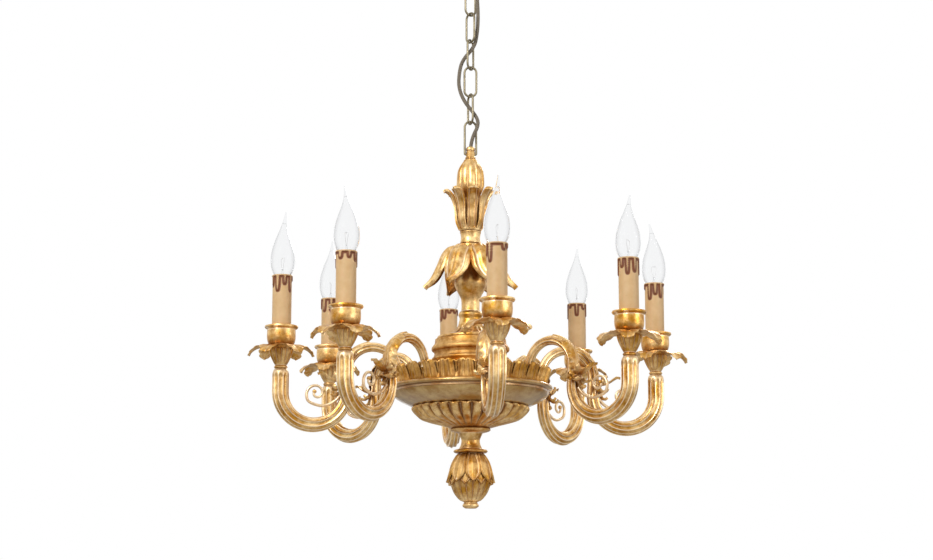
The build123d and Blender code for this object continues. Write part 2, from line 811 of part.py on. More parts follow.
with BuildLine(Plane.XZ) as wire_path:
    top_run = Line((arm_reach, cup_floor_z + candle_nipple_up), (arm_reach, u_z))
    wire_u = TangentArc(top_run @ 1, (leg_radius, u_z), tangent=top_run % 1)
    wire_leg = Line(wire_u @ 1, (leg_radius, drum_z))
    wire_arch = TangentArc(wire_leg @ 1, (arm_root_radius, drum_z), tangent=wire_leg % 1)
    Line(wire_arch @ 1, (arm_root_radius, drum_z - deck_thickness - wire_tail))
save(around(wire_along(wire_path.wires()[0], wire_radius)), "arm_wires")

# Acanthus leaves


def leaf_section(place, along, width, arch):
    """A thin crescent across the leaf, square to the way that the leaf runs."""
    plane = Plane(place, x_dir=(0, 1, 0), z_dir=along)
    half = width / 2
    sag = arch - sqrt(max(arch ** 2 - half ** 2, 0))
    with BuildSketch(plane) as section:
        with BuildLine():
            inner_arc = ThreePointArc((-half, -sag), (0, 0), (half, -sag))
            side = Line(inner_arc @ 1, (half, leaf_edge - sag))
            outer_arc = ThreePointArc(side @ 1, (0, leaf_thickness), (-half, leaf_edge - sag))
            Line(outer_arc @ 1, inner_arc @ 0)
        make_face()
    return section.sketch


leaf_lift = arm_thick_arch / 2 + leaf_gap
leaf_places = []
for angle, width in zip(leaf_angles, leaf_widths):
    a = radians(angle)
    reach = arch_radius + leaf_lift
    place = (arch_centre + reach * cos(a), 0, drum_z + reach * sin(a))
    leaf_places.append((place, (sin(a), 0, -cos(a)), width))
for (out, up), turn, width in zip(leaf_tip, leaf_tip_turns, leaf_tip_widths):
    a = radians(turn)
    leaf_places.append(((leg_radius + out, 0, drum_z + up), (cos(a), 0, sin(a)), width))
with BuildPart() as arm_leaf:
    for place, along, width in leaf_places:
        add(leaf_section(place, along, width, leaf_round))
    loft()
    add(arm_body.part, mode=Mode.SUBTRACT)
save(around(arm_leaf.part), "arm_leaves")

# Scrolls

scroll_low = (leg_radius + scroll_bottom_out, u_z - scroll_bottom_drop)
scroll_run = scroll_bottom_out - arm_thick_arch / 2
scroll_fall = scroll_bottom_drop - scroll_start_drop
with BuildLine(Plane.XZ) as scroll_path:
    lead = TangentArc(scroll_low, (scroll_low[0] - scroll_run, scroll_low[1] + scroll_fall), tangent=(-1, 0))
    turn_1 = TangentArc(scroll_low, (scroll_low[0] + scroll_quarters[0], scroll_low[1] + scroll_quarters[0]),
                        tangent=(1, 0))
    turn_2 = TangentArc(turn_1 @ 1, turn_1 @ 1 + Vector(-scroll_quarters[1], scroll_quarters[1]),
                        tangent=(0, 1))
    turn_3 = TangentArc(turn_2 @ 1, turn_2 @ 1 + Vector(-scroll_quarters[2], -scroll_quarters[2]),
                        tangent=(-1, 0))
    turn_4 = TangentArc(turn_3 @ 1, turn_3 @ 1 + Vector(scroll_quarters[3], -scroll_quarters[3]),
                        tangent=(0, -1))
with BuildPart() as arm_scroll:
    add(wire_along(scroll_path.wires()[0], scroll_wire / 2))
    with Locations(turn_4 @ 1):
        Sphere(scroll_ball)
    add(arm_body.part, mode=Mode.SUBTRACT)
save(around(arm_scroll.part), "arm_scrolls")

# Candle units

pan_body = bored([pan_calyx], candle_nipple_radius + nipple_clear, candle_z)
pan_under = [(radius, height - pan_leaf_thickness) for radius, height in pan_leaf_line]
pan_bell = turned(
    [pan_leaf_line, [pan_leaf_line[-1], pan_under[-1]], pan_under[::-1], [pan_under[0], pan_leaf_line[0]]],
    candle_z,
)
pan_reach = pan_leaf_line[-1][0]
pan_leaf = leaf_outline(pan_leaf_line[0][0], pan_widest_radius, pan_leaf_half_width, pan_reach)
pan_prism = leaf_prism(pan_leaf, pan_leaves, 0, pan_leaf_line[0][0], candle_z, 2 * pan_reach)
with BuildPart() as drip_pan:
    add(pan_bell)
    add(pan_prism, mode=Mode.INTERSECT)
    add(pan_body)
save(around(placed_on_candle(drip_pan.part)), "drip_pans")

cup_top = cup_rim[-1]
pocket_floor = cup_top[1] - cup_pocket_depth
pocket_radius = sleeve_radius + sleeve_clear
candle_bore = candle_nipple_radius + nipple_clear
candle_cup = turned(
    [
        [(candle_bore, 0), (cup_wall_line[0][0], 0)],
        [(cup_wall_line[0][0], 0), cup_wall_line[0]],
        cup_wall_line,
        [cup_rim[0], cup_rim[1]],
        [cup_rim[1], cup_top],
        [cup_top, (pocket_radius, cup_top[1])],
        [(pocket_radius, cup_top[1]), (pocket_radius, pocket_floor)],
        [(pocket_radius, pocket_floor), (candle_bore, pocket_floor)],
        [(candle_bore, pocket_floor), (candle_bore, 0)],
    ],
    pan_top_z,
)
save(around(placed_on_candle(candle_cup)), "candle_cups")

sleeve = tube(sleeve_length, sleeve_radius, sleeve_radius - sleeve_wall, cup_floor_z)
save(around(placed_on_candle(sleeve)), "candle_sleeves")

nipple_low_z = candle_z - candle_nipple_down
nipple_length = cup_floor_z + candle_nipple_up - nipple_low_z
candle_nipple = tube(nipple_length, candle_nipple_radius, candle_nipple_bore, nipple_low_z)
save(around(placed_on_candle(candle_nipple)), "candle_nipples")

socket_radius = cap_radius + socket_clear
with BuildPart() as lampholder:
    with BuildSketch(Plane.XY.offset(cup_floor_z)):
        Circle(holder_radius)
    extrude(amount=holder_length)
    with BuildSketch(Plane.XY.offset(cup_floor_z)):
        Circle(candle_bore)
    extrude(amount=candle_nipple_up, mode=Mode.SUBTRACT)
    with BuildSketch(Plane.XY.offset(socket_floor_z)):
        Circle(socket_radius)
    extrude(amount=socket_depth, mode=Mode.SUBTRACT)
save(around(placed_on_candle(lampholder.part)), "lampholders")

# Bulbs


def glass_blank(line, inset):
    """The flame shape, drawn in by an inset, with its tip bent towards +X."""
    with BuildPart() as flame:
        for radius, height in line:
            over = max(height - tip_bend_from, 0) / (glass_line[-1][1] - tip_bend_from)
            with BuildSketch(Plane((tip_bend * over ** tip_bend_power, 0, holder_top_z + height))):
                Circle(radius - inset)
        loft()
    return flame.part


glass_hollow = [(radius, height + glass_wall) for radius, height in glass_line[:glass_hollow_to]]
with BuildPart() as bulb_glass:
    add(glass_blank(glass_line, 0))
    add(glass_blank(glass_hollow, glass_wall), mode=Mode.SUBTRACT)
cap_low_z = socket_floor_z + cap_rest_gap
with BuildPart() as bulb_cap:
    with BuildSketch(Plane.XY.offset(cap_low_z)):
        Circle(cap_contact_radius)
    extrude(amount=cap_contact_height)
    with BuildSketch(Plane.XY.offset(cap_low_z + cap_contact_height)):
        Circle(cap_radius)
    extrude(amount=holder_top_z - cap_low_z - cap_contact_height)
for number in range(arm_count):
    with BuildPart() as bulb:
        with Locations(Location((arm_reach, 0, 0), (0, 0, tip_turns[number]))):
            add(bulb_glass.part)
            add(bulb_cap.part)
    save(on_arm(bulb.part, number), "bulb_" + str(number + 1))
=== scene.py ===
import math
import random

import bpy
import numpy as np
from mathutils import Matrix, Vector


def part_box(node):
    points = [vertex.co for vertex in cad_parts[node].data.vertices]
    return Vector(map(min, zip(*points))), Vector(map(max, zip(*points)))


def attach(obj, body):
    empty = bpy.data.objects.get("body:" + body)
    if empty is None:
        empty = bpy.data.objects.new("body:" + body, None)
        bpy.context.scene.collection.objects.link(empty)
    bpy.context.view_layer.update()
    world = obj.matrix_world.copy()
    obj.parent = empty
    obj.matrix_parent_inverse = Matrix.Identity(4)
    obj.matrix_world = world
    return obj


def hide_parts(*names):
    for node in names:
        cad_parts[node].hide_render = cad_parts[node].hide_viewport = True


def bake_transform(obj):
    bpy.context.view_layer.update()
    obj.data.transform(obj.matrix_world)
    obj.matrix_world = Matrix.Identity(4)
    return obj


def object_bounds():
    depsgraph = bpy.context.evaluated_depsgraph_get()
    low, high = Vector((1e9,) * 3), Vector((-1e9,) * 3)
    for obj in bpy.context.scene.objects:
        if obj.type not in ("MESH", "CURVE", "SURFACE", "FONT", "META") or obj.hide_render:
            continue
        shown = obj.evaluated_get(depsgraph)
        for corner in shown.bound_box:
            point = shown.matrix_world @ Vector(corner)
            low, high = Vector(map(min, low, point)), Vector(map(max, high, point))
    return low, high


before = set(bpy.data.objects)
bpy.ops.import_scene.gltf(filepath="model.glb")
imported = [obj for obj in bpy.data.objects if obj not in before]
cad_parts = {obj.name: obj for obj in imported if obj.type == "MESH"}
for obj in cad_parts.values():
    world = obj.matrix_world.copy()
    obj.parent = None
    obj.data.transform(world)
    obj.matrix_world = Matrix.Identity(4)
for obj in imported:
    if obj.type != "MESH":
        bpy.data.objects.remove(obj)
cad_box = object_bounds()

# Gilt carved chandelier. Lengths are in millimetres until a mesh is made, in the frame's own axes.
MM = 0.001
TURN = 2 * math.pi
ARM_COUNT = 8
ARM_STEP = 360 / ARM_COUNT

# Bores of the turned pieces, as radii: round the stem's rod and round a candle's nipple
ROD_BORE = 5.3
NIPPLE_BORE = 4.2

# The supply cord's route, woven through the chain: x, y and drop below the ceiling
CORD_DIAMETER = 5.2
CORD_ROUTE = [
    (24.0, -7.0, 12.0), (23.0, -6.5, 26.0), (12.0, -3.0, 41.0), (8.5, -2.5, 56.0), (9.0, -2.5, 72.0),
    (10.5, -2.0, 92.0), (11.0, -1.0, 112.0), (9.5, -0.5, 132.0), (6.0, 0.5, 150.0), (-12.0, 1.0, 171.0),
    (-16.5, 0.0, 192.0), (-17.0, -1.0, 212.0), (-9.5, -0.5, 231.0), (3.5, -1.0, 247.0),
    (10.0, -5.5, 259.0), (9.5, -8.0, 270.0), (3.0, -7.0, 283.0), (0.0, 0.0, 297.0), (0.0, 0.0, 312.0),
]
CORD_CUT_DROPS = [82.0, 122.0, 160.5, 202.0, 239.0, 276.5]
CORD_SIDES = 20

# Camera: its place in metres, its tilt and turn in degrees, its lens and sensor in millimetres
CAMERA_PLACE = (-0.3300, -2.5638, -0.9544)
CAMERA_PITCH = 10.2
CAMERA_TURN = -7.21
CAMERA_LENS = 72.46
SENSOR_WIDTH = 36.0


# Materials


def node_tools(tree):
    """Two functions for a node tree: one adds a node with its sockets set, one sets or links a socket."""

    def link(socket, value):
        if isinstance(value, bpy.types.NodeSocket):
            tree.links.new(value, socket)
        else:
            socket.default_value = value

    def add(kind, **sockets):
        node = tree.nodes.new(kind)
        for key, value in sockets.items():
            label = key.replace("_", " ")
            if label in node.inputs:
                link(node.inputs[label], value)
            else:
                setattr(node, key, value)
        return node

    return add, link


def new_material(name):
    """A node material, its shader and its tree's tools."""
    material = bpy.data.materials.new(name)
    material.use_nodes = True
    shader = next(n for n in material.node_tree.nodes if n.type == "BSDF_PRINCIPLED")
    return material, shader, *node_tools(material.node_tree)


def ramp(add, factor, stops):
    """A colour ramp over a factor; stops are (place, grey or colour)."""
    node = add("ShaderNodeValToRGB", Fac=factor)
    elements = node.color_ramp.elements
    while len(elements) < len(stops):
        elements.new(0.5)
    for element, (place, colour) in zip(elements, stops):
        element.position = place
        element.color = (colour, colour, colour, 1) if isinstance(colour, (int, float)) else (*colour, 1)
    return node.outputs["Color"]


def noise(add, scale, detail=4.0, roughness=0.6):
    """Noise over the object's own coordinates, in metres."""
    place = add("ShaderNodeTexCoord").outputs["Object"]
    node = add("ShaderNodeTexNoise", Vector=place, Scale=scale, Detail=detail, Roughness=roughness)
    return node.outputs["Fac"]


def mixed(add, link, factor, first, second):
    """Two colours mixed by a factor."""
    node = add("ShaderNodeMix", data_type="RGBA")
    link(node.inputs[0], factor)
    for socket, colour in ((node.inputs[6], first), (node.inputs[7], second)):
        link(socket, (*colour, 1) if isinstance(colour, tuple) else colour)
    return node.outputs[2]


def bumped(add, link, shader, height, strength, depth):
    """Bump on a shader from a height; depth is in metres."""
    bump = add("ShaderNodeBump", Height=height, Strength=strength, Distance=depth)
    link(shader.inputs["Normal"], bump.outputs["Normal"])


UMBER = (0.31, 0.10, 0.009)
# Dark brown laid into hollows found by occlusion: partly antiquing glazing, partly painted shade.
GLAZE_SHADE_BROWN = (0.25, 0.078, 0.007)
# Pale colour on sharp ridges: partly rubbed-through wear, partly a painted highlight.
RUBBED_HIGHLIGHT = (0.98, 0.83, 0.60)
HOLLOW_REACH = 0.016


def gold_leaf(name, bright, deep, patina, relief=0.35, dull=0.28, hollow_glaze_shade=1.0, rub_highlight=0.95, coat=0.0):
    """Gold leaf over red-brown bole: dark brown in hollows, partly antiquing glazing and partly painted
    shade; pale on ridges, partly rubbed wear and partly a painted highlight; mottled by wear.
    """
    material, shader, add, link = new_material(name)
    patches = noise(add, scale=42.0, detail=6.0, roughness=0.66)
    grain = noise(add, scale=420.0, detail=3.0)
    blots = noise(add, scale=95.0, detail=8.0, roughness=0.72)
    stain = ramp(add, blots, [(0.47, 0.0), (0.68, patina)])
    # Pointiness picks out ridges, which get a painted highlight that also stands for rubbed wear.
    edges = ramp(add, add("ShaderNodeNewGeometry").outputs["Pointiness"], [(0.508, 0.0), (0.565, rub_highlight)])
    # Occlusion finds the hollows: their dark brown is partly antiquing glazing and partly painted shade, and
    # less metal there keeps them from mirroring the white surroundings.
    hollow = add("ShaderNodeAmbientOcclusion", Distance=HOLLOW_REACH, samples=8).outputs["AO"]
    glaze_shade_mask = ramp(add, hollow, [(0.15, hollow_glaze_shade), (0.5, hollow_glaze_shade * 0.55), (0.85, 0.0)])
    leafed = mixed(add, link, ramp(add, patches, [(0.38, 0.0), (0.65, 1.0)]), deep, bright)
    stained = mixed(add, link, stain, leafed, UMBER)
    glaze_shaded = mixed(add, link, glaze_shade_mask, stained, GLAZE_SHADE_BROWN)
    link(shader.inputs["Base Color"], mixed(add, link, edges, glaze_shaded, RUBBED_HIGHLIGHT))
    link(shader.inputs["Metallic"], ramp(add, hollow, [(0.15, 0.35), (0.5, 0.85), (0.8, 1.0)]))
    link(shader.inputs["Roughness"], ramp(add, patches, [(0.3, dull), (0.7, dull + 0.2)]))
    link(shader.inputs["Specular IOR Level"], 0.25)
    link(shader.inputs["Coat Weight"], coat)
    bumped(add, link, shader, mixed(add, link, 0.5, patches, grain), strength=relief, depth=0.0008)
    return material


def stained_solid(name, scale, detail, low, high, roughness, metallic, grain, bump):
    """A plain stuff with two colours and two roughnesses that cloud into each other, and a fine grain."""
    material, shader, add, link = new_material(name)
    cloud = noise(add, scale=scale, detail=detail)
    link(shader.inputs["Base Color"], ramp(add, cloud, [(0.3, low), (0.7, high)]))
    link(shader.inputs["Roughness"], ramp(add, cloud, [(0.3, roughness[0]), (0.7, roughness[1])]))
    link(shader.inputs["Metallic"], metallic)
    strength, depth = bump
    bumped(add, link, shader, noise(add, *grain), strength, depth)
    return material, shader, add, link


def bronze():
    """Antique bronze: olive brown, darker in stains."""
    return stained_solid("antique_bronze", 90.0, 3.0, (0.20, 0.165, 0.105), (0.32, 0.275, 0.18),
                         roughness=(0.5, 0.4), metallic=0.9, grain=(900.0,), bump=(0.2, 0.0003))[0]


def plain_metal(name, low, high, roughness):
    """Bare metal with a fine stain."""
    return stained_solid(name, 200.0, 4.0, low, high, roughness=(roughness, roughness + 0.14),
                         metallic=1.0, grain=(700.0,), bump=(0.12, 0.0002))[0]


def moulded(name, low, high):
    """Moulded plastic with a fine grain."""
    return stained_solid(name, 80.0, 3.0, low, high, roughness=(0.42, 0.55), metallic=0.0,
                         grain=(1500.0, 2.0), bump=(0.1, 0.0002))[0]


DRIP_BROWN = (0.19, 0.052, 0.012)


def wax():
    """Tan candle sleeve with brown along the edges of its drips."""
    material, shader, add, link = stained_solid(
        "candle_wax", 60.0, 3.0, (0.68, 0.43, 0.195), (0.77, 0.525, 0.27), roughness=(0.45, 0.6),
        metallic=0.0, grain=(240.0, 3.0), bump=(0.15, 0.0005))
    tan = shader.inputs["Base Color"].links[0].from_socket
    edge = add("ShaderNodeAttribute", attribute_name="drip_edge").outputs["Fac"]
    brown_share = ramp(add, edge, [(0.25, 0.0), (0.7, 1.0)])
    link(shader.inputs["Base Color"], mixed(add, link, brown_share, tan, DRIP_BROWN))
    link(shader.inputs["Subsurface Weight"], 0.12)
    link(shader.inputs["Subsurface Radius"], (0.004, 0.002, 0.001))
    return material


def clear_glass(name, face, rim):
    """Thin glass with faint unevenness, greyer towards its rim where more of the wall is looked through."""
    material, shader, add, link = new_material(name)
    slant = add("ShaderNodeLayerWeight", Blend=0.5).outputs["Facing"]
    link(shader.inputs["Base Color"], ramp(add, slant, [(0.25, face), (0.95, rim)]))
    link(shader.inputs["Transmission Weight"], 1.0)
    link(shader.inputs["IOR"], 1.06)
    haze = noise(add, scale=90.0, detail=2.0)
    link(shader.inputs["Roughness"], ramp(add, haze, [(0.3, 0.1), (0.8, 0.16)]))
    bumped(add, link, shader, noise(add, scale=70.0, detail=1.0), strength=0.05, depth=0.0006)
    return material


THREAD_SLANT = math.radians(38)


def cord_cloth():
    """Woven cord sleeve: two sets of threads that cross, taken from the tube's own length and turn."""
    material, shader, add, link = new_material("cord_cloth")
    along = add("ShaderNodeUVMap", uv_map="tube").outputs["UV"]
    threads = []
    for slant in (THREAD_SLANT, -THREAD_SLANT):
        place = add("ShaderNodeMapping", Vector=along, Rotation=(0, 0, slant)).outputs["Vector"]
        threads.append(add("ShaderNodeTexWave", Vector=place, Scale=3.2, Distortion=0.4).outputs["Fac"])
    weave = mixed(add, link, 0.5, *threads)
    colours = [(0.2, (0.10, 0.08, 0.056)), (0.75, (0.33, 0.27, 0.195))]
    link(shader.inputs["Base Color"], ramp(add, weave, colours))
    link(shader.inputs["Roughness"], ramp(add, weave, [(0.2, 0.9), (0.8, 0.7)]))
    link(shader.inputs["Sheen Weight"], 0.3)
    bumped(add, link, shader, weave, strength=0.6, depth=0.0004)
    return material


GOLD = gold_leaf("gold_leaf", (0.95, 0.70, 0.345), (0.54, 0.255, 0.032), patina=0.75)
LEAF_GOLD = gold_leaf("carved_leaf", (0.95, 0.71, 0.365), (0.54, 0.26, 0.034), patina=0.75, dull=0.3,
                      hollow_glaze_shade=0.5)
BOWL_GOLD = gold_leaf("burnished_leaf", (0.62, 0.42, 0.165), (0.40, 0.22, 0.055), patina=0.5, relief=0.1,
                      rub_highlight=0.2, coat=0.6)
# Darker, duller gold for the hub drum: partly its own finish, partly painted shade of the arms and pans
# round it.
DARK_GOLD = gold_leaf("shaded_leaf", (0.76, 0.50, 0.20), (0.42, 0.19, 0.032), patina=0.9, dull=0.42, rub_highlight=0.3)
BAND_GOLD = gold_leaf("band_leaf", (0.93, 0.63, 0.24), (0.52, 0.25, 0.03), patina=0.7, dull=0.4, hollow_glaze_shade=1.3,
                      rub_highlight=0.3)
RIM_GOLD = gold_leaf("rimmed_leaf", (0.86, 0.60, 0.26), (0.50, 0.24, 0.032), patina=0.85, dull=0.42,
                     hollow_glaze_shade=0.8)
BRONZE = bronze()
WAX = wax()
GLASS = clear_glass("bulb_glass", (0.92, 0.925, 0.93), (0.60, 0.605, 0.615))
INNER_GLASS = clear_glass("bulb_glass_inside", (0.99, 0.99, 0.99), (0.97, 0.97, 0.97))
BRASS = plain_metal("cap_brass", (0.62, 0.44, 0.17), (0.78, 0.60, 0.30), 0.28)
STEEL = plain_metal("steel", (0.42, 0.42, 0.41), (0.56, 0.56, 0.55), 0.3)
HOLDER = moulded("holder_plastic", (0.70, 0.66, 0.56), (0.80, 0.76, 0.66))
BLOCK = moulded("block_plastic", (0.70, 0.70, 0.66), (0.80, 0.80, 0.77))
WIRE = moulded("wire_cover", (0.34, 0.20, 0.07), (0.46, 0.29, 0.11))
CORD = cord_cloth()


# Curves and shells: a shell is its points and its faces


def smooth_step(low, high, value):
    """0 below low, 1 above high, smooth between."""
    t = np.clip((value - low) / (high - low), 0, 1)
    return t * t * (3 - 2 * t)


def bell(off, width):
    """1 where there is no offset, falling away smoothly over a width."""
    return np.exp(-(off / width) ** 2)


def smooth_line(points, per_span=8):
    """Points along a smooth curve through a row of points, of any number of coordinates."""
    p = np.array(points, float)
    ends = [2 * p[0] - p[1], *p, 2 * p[-1] - p[-2]]
    line = []
    for a, b, c, d in zip(ends[:-3], ends[1:-2], ends[2:-1], ends[3:]):
        for t in np.arange(per_span) / per_span:
            line.append(0.5 * (2 * b + (c - a) * t + (2 * a - 5 * b + 4 * c - d) * t ** 2
                               + (3 * b - a - 3 * c + d) * t ** 3))
    line.append(p[-1])
    return np.array(line)


def outline(*stretches, per_span=6):
    """An outline of (radius, height): straight to each point, and smoothly through each list of points."""
    line = []
    for stretch in stretches:
        if isinstance(stretch, list):
            line.extend(smooth_line([line[-1], *stretch], per_span)[1:])
        else:
            line.append(np.array(stretch, float))
    return np.array(line)


def run_along(line):
    """The length along a line up to each of its points."""
    return np.r_[0, np.cumsum(np.linalg.norm(np.diff(line, axis=0), axis=1))]


def ring_at(radii, angles, height):
    """A level ring of points about the Z axis."""
    return np.stack([radii * np.cos(angles), radii * np.sin(angles), np.full(len(angles), height)], 1)


def skin(rings, wrap=False):
    """A closed shell over rings of points: its ends are capped, or joined where it wraps."""
    rings = np.asarray(rings, float)
    rows, cols = rings.shape[:2]
    verts = list(rings.reshape(-1, 3))
    faces = []
    for i in range(rows if wrap else rows - 1):
        a, b = i * cols, (i + 1) % rows * cols
        for j in range(cols):
            k = (j + 1) % cols
            faces.append((a + j, a + k, b + k, b + j))
    if not wrap:
        for base, ring, flip in ((0, rings[0], True), ((rows - 1) * cols, rings[-1], False)):
            verts.append(ring.mean(0))
            centre = len(verts) - 1
            for j in range(cols):
                pair = (base + j, base + (j + 1) % cols)
                faces.append((*(pair[::-1] if flip else pair), centre))
    return np.array(verts), faces


def turned(line, base, segments, carve=None, wrap=True):
    """A turned shell from an outline; carve(angles, radius, height) may change its radius."""
    angles = np.arange(segments) / segments * TURN
    rings = []
    for radius, height in line:
        radii = np.full(segments, radius) if carve is None else carve(angles, radius, height)
        rings.append(ring_at(radii, angles, base + height))
    return skin(rings[::-1], wrap)


def fluted(count, sharpness, depth, fade):
    """A carving of flutes for a turned shell; fade(radius, height) is the share of their depth there."""

    def carve(angles, radius, height):
        ridge = np.abs(np.sin(angles * count / 2)) ** sharpness
        return radius * (1 - depth * fade(radius, height) * (1 - ridge))

    return carve


def tube(points, radii, sides, section=None):
    """A tube along points; section(turns, step) may scale its radius round the section."""
    p = np.asarray(points, float)
    radii = np.broadcast_to(radii, len(p))
    along = np.gradient(p, axis=0)
    along /= np.linalg.norm(along, axis=1)[:, None]
    side = np.cross(along[0], (0.0, 1.0, 0.0))
    if np.linalg.norm(side) < 0.1:
        side = np.cross(along[0], (1.0, 0.0, 0.0))
    turns = np.arange(sides) / sides * TURN
    rings = []
    for step in range(len(p)):
        side = side - along[step] * (side @ along[step])
        side /= np.linalg.norm(side)
        other = np.cross(along[step], side)
        r = radii[step] * (np.ones(sides) if section is None else section(turns, step))
        rings.append(p[step] + r[:, None] * (np.cos(turns)[:, None] * side + np.sin(turns)[:, None] * other))
    return skin(rings)


LEAF_EDGE = 0.02


def leaf(spine, half_width, lift, thickness, across, side=1, wrap=False):
    """A carved leaf along a spine of (x, z): half_width(s) and lift(s, c) take the shares along and across.

    The leaf lies in the XZ plane with its width along Y, or bends round the Z axis where it wraps."""
    spine = np.asarray(spine, float)
    steps = len(spine)
    along = np.gradient(spine, axis=0)
    along /= np.linalg.norm(along, axis=1)[:, None]
    normal = np.stack([-along[:, 1], along[:, 0]], 1) * side
    share = np.linspace(-1, 1, across)
    body = thickness * np.sqrt(np.clip(1 + LEAF_EDGE - share ** 2, LEAF_EDGE, 1))
    rings = []
    for i in range(steps):
        s = i / (steps - 1)
        half = half_width(s)
        up = lift(s, share)
        ring = []
        for c, top in ((share, up + body / 2), (share[::-1], (up - body / 2)[::-1])):
            x = spine[i, 0] + normal[i, 0] * top
            z = spine[i, 1] + normal[i, 1] * top
            y = c * half
            if wrap:
                turn = y / np.maximum(x, 1.0)
                x, y = x * np.cos(turn), x * np.sin(turn)
            ring.append(np.stack([x, y, z], 1))
        rings.append(np.concatenate(ring))
    if side < 0:
        rings = [r[::-1] for r in rings]
    return skin(rings)


def joined(*shells):
    """Several shells as one."""
    verts, faces, count = [], [], 0
    for v, f in shells:
        verts.append(v)
        faces.extend(tuple(n + count for n in face) for face in f)
        count += len(v)
    return np.concatenate(verts), faces


def moved(shell, turn=0.0, place=(0.0, 0.0, 0.0)):
    """A shell turned about Z by degrees, then moved."""
    verts, faces = shell
    c, s = math.cos(math.radians(turn)), math.sin(math.radians(turn))
    x, y, z = verts.T
    return np.stack([c * x - s * y + place[0], s * x + c * y + place[1], z + place[2]], 1), faces


def ring_of(shell, count, first=0.0):
    """Copies of a shell about the Z axis."""
    return joined(*[moved(shell, first + 360 / count * n) for n in range(count)])


# Pieces

CREASE = 50.0
GLASS_CREASE = 80.0


def new_mesh(name, shell, material, crease=CREASE):
    """A mesh in metres from a shell, smooth but for its creases."""
    verts, faces = shell
    mesh = bpy.data.meshes.new(name)
    mesh.from_pydata((verts * MM).tolist(), [], faces)
    mesh.polygons.foreach_set("use_smooth", [True] * len(mesh.polygons))
    mesh.set_sharp_from_angle(angle=math.radians(crease))
    mesh.materials.append(material)
    return mesh


def piece(name, mesh, body, slot, *nodes, turn=0.0, place=(0, 0, 0)):
    """An object that rides a body and stands for CAD nodes, which it hides; its slot is not used."""
    obj = bpy.data.objects.new(name, mesh)
    obj.location = place
    obj.rotation_euler = (0, 0, math.radians(turn))
    bpy.context.scene.collection.objects.link(obj)
    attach(obj, body)
    if nodes:
        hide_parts(*nodes)


def gilt(node, shell, material=GOLD, work="turned"):
    """A gilt piece of the chandelier's body that stands for one node."""
    piece(f"{node}_{work}", new_mesh(node, shell, material), "chandelier", "gilt_wood", node)


def seat(node):
    """The height of a node's lowest point, in millimetres."""
    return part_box(node)[0].z / MM


def head(node):
    """The height of a node's highest point, in millimetres."""
    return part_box(node)[1].z / MM


# Supply cord: one smooth line, cut into spans at given drops, each in place of one cord node


def cord_line():
    """Points along the route's smooth spline, in millimetres."""
    curve = bpy.data.curves.new("cord_route", "CURVE")
    curve.dimensions = "3D"
    curve.resolution_u = 16
    spline = curve.splines.new("NURBS")
    spline.points.add(len(CORD_ROUTE) - 1)
    for point, (x, y, drop) in zip(spline.points, CORD_ROUTE):
        point.co = (x * MM, y * MM, -drop * MM, 1)
    spline.order_u = 3
    spline.use_endpoint_u = True
    holder = bpy.data.objects.new("cord_route", curve)
    bpy.context.scene.collection.objects.link(holder)
    bpy.context.view_layer.update()
    sampled = bpy.data.meshes.new_from_object(holder.evaluated_get(bpy.context.evaluated_depsgraph_get()))
    points = np.array([v.co for v in sampled.vertices]) / MM
    bpy.data.objects.remove(holder)
    bpy.data.curves.remove(curve)
    bpy.data.meshes.remove(sampled)
    return points


def add_tube_map(mesh, length, rings):
    """A UV map with the tube's length along u and its turn along v, in cord diameters."""
    layer = mesh.uv_layers.new(name="tube")
    for loop in mesh.loops:
        ring, side = divmod(loop.vertex_index, CORD_SIDES)
        layer.data[loop.index].uv = (ring / rings * length / CORD_DIAMETER, side / CORD_SIDES * math.pi)


def build_cord():
    line = cord_line()
    heights = line[:, 2]
    levels = [math.inf, *[-drop for drop in CORD_CUT_DROPS], -math.inf]
    for number, (high, low) in enumerate(zip(levels, levels[1:])):
        inside = np.where((heights >= low) & (heights <= high))[0]
        path = line[inside[0]:inside[-1] + 2]
        length = float(run_along(path)[-1])
        mesh = new_mesh("supply_cord", tube(path, CORD_DIAMETER / 2, CORD_SIDES), CORD)
        add_tube_map(mesh, length, len(path))
        span = bpy.data.objects.new(f"cord_span_{number + 1}", mesh)
        bpy.context.scene.collection.objects.link(span)
        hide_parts(f"supply_cord_{number + 1}")
        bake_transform(span)


# Leaf shapes: half widths over the share along, and lifts over the shares along and across


def tapered(root, belly, swell, taper, cut):
    """A half width that swells from root to belly over one stretch and loses a share over another."""

    def half_width(s):
        return (root + (belly - root) * smooth_step(*swell, s)) * (1 - cut * smooth_step(*taper, s))

    return half_width


BEAD_AT, BEAD_WIDTH = 0.88, 0.11
GROOVE_AT, GROOVE_WIDTH = 0.62, 0.14


def beaded(c, bead, groove):
    """A bead along both edges of a leaf with a groove inside it."""
    off = np.abs(c)
    return bead * bell(off - BEAD_AT, BEAD_WIDTH) - groove * bell(off - GROOVE_AT, GROOVE_WIDTH)


def channel(depth, rib, bead):
    """A lift with a hollow channel, a midrib and beaded edges."""
    rib_width = 0.15

    def lift(s, c):
        return depth * (c ** 2 - 0.5) + rib * bell(c, rib_width) + beaded(c, bead, bead)

    return lift


def scalloped(s, lobes, depth):
    """The share of a half width left by lobes that are cut into a leaf's edge."""
    return 1 - depth * (1 - abs(math.sin(math.pi * lobes * s)))


def veined(lobes, edge_lift, vein):
    """A lift with raised edges, a midrib groove and side veins that run out to the lobes."""
    groove, groove_width = 0.9, 0.09
    sweep, spread = 1.1, 0.7

    def lift(s, c):
        off = np.abs(c)
        veins = np.cos(TURN * (lobes * s - sweep * off))
        return edge_lift * (c ** 2 - 0.4) - groove * bell(c, groove_width) + vein * veins * off ** spread

    return lift


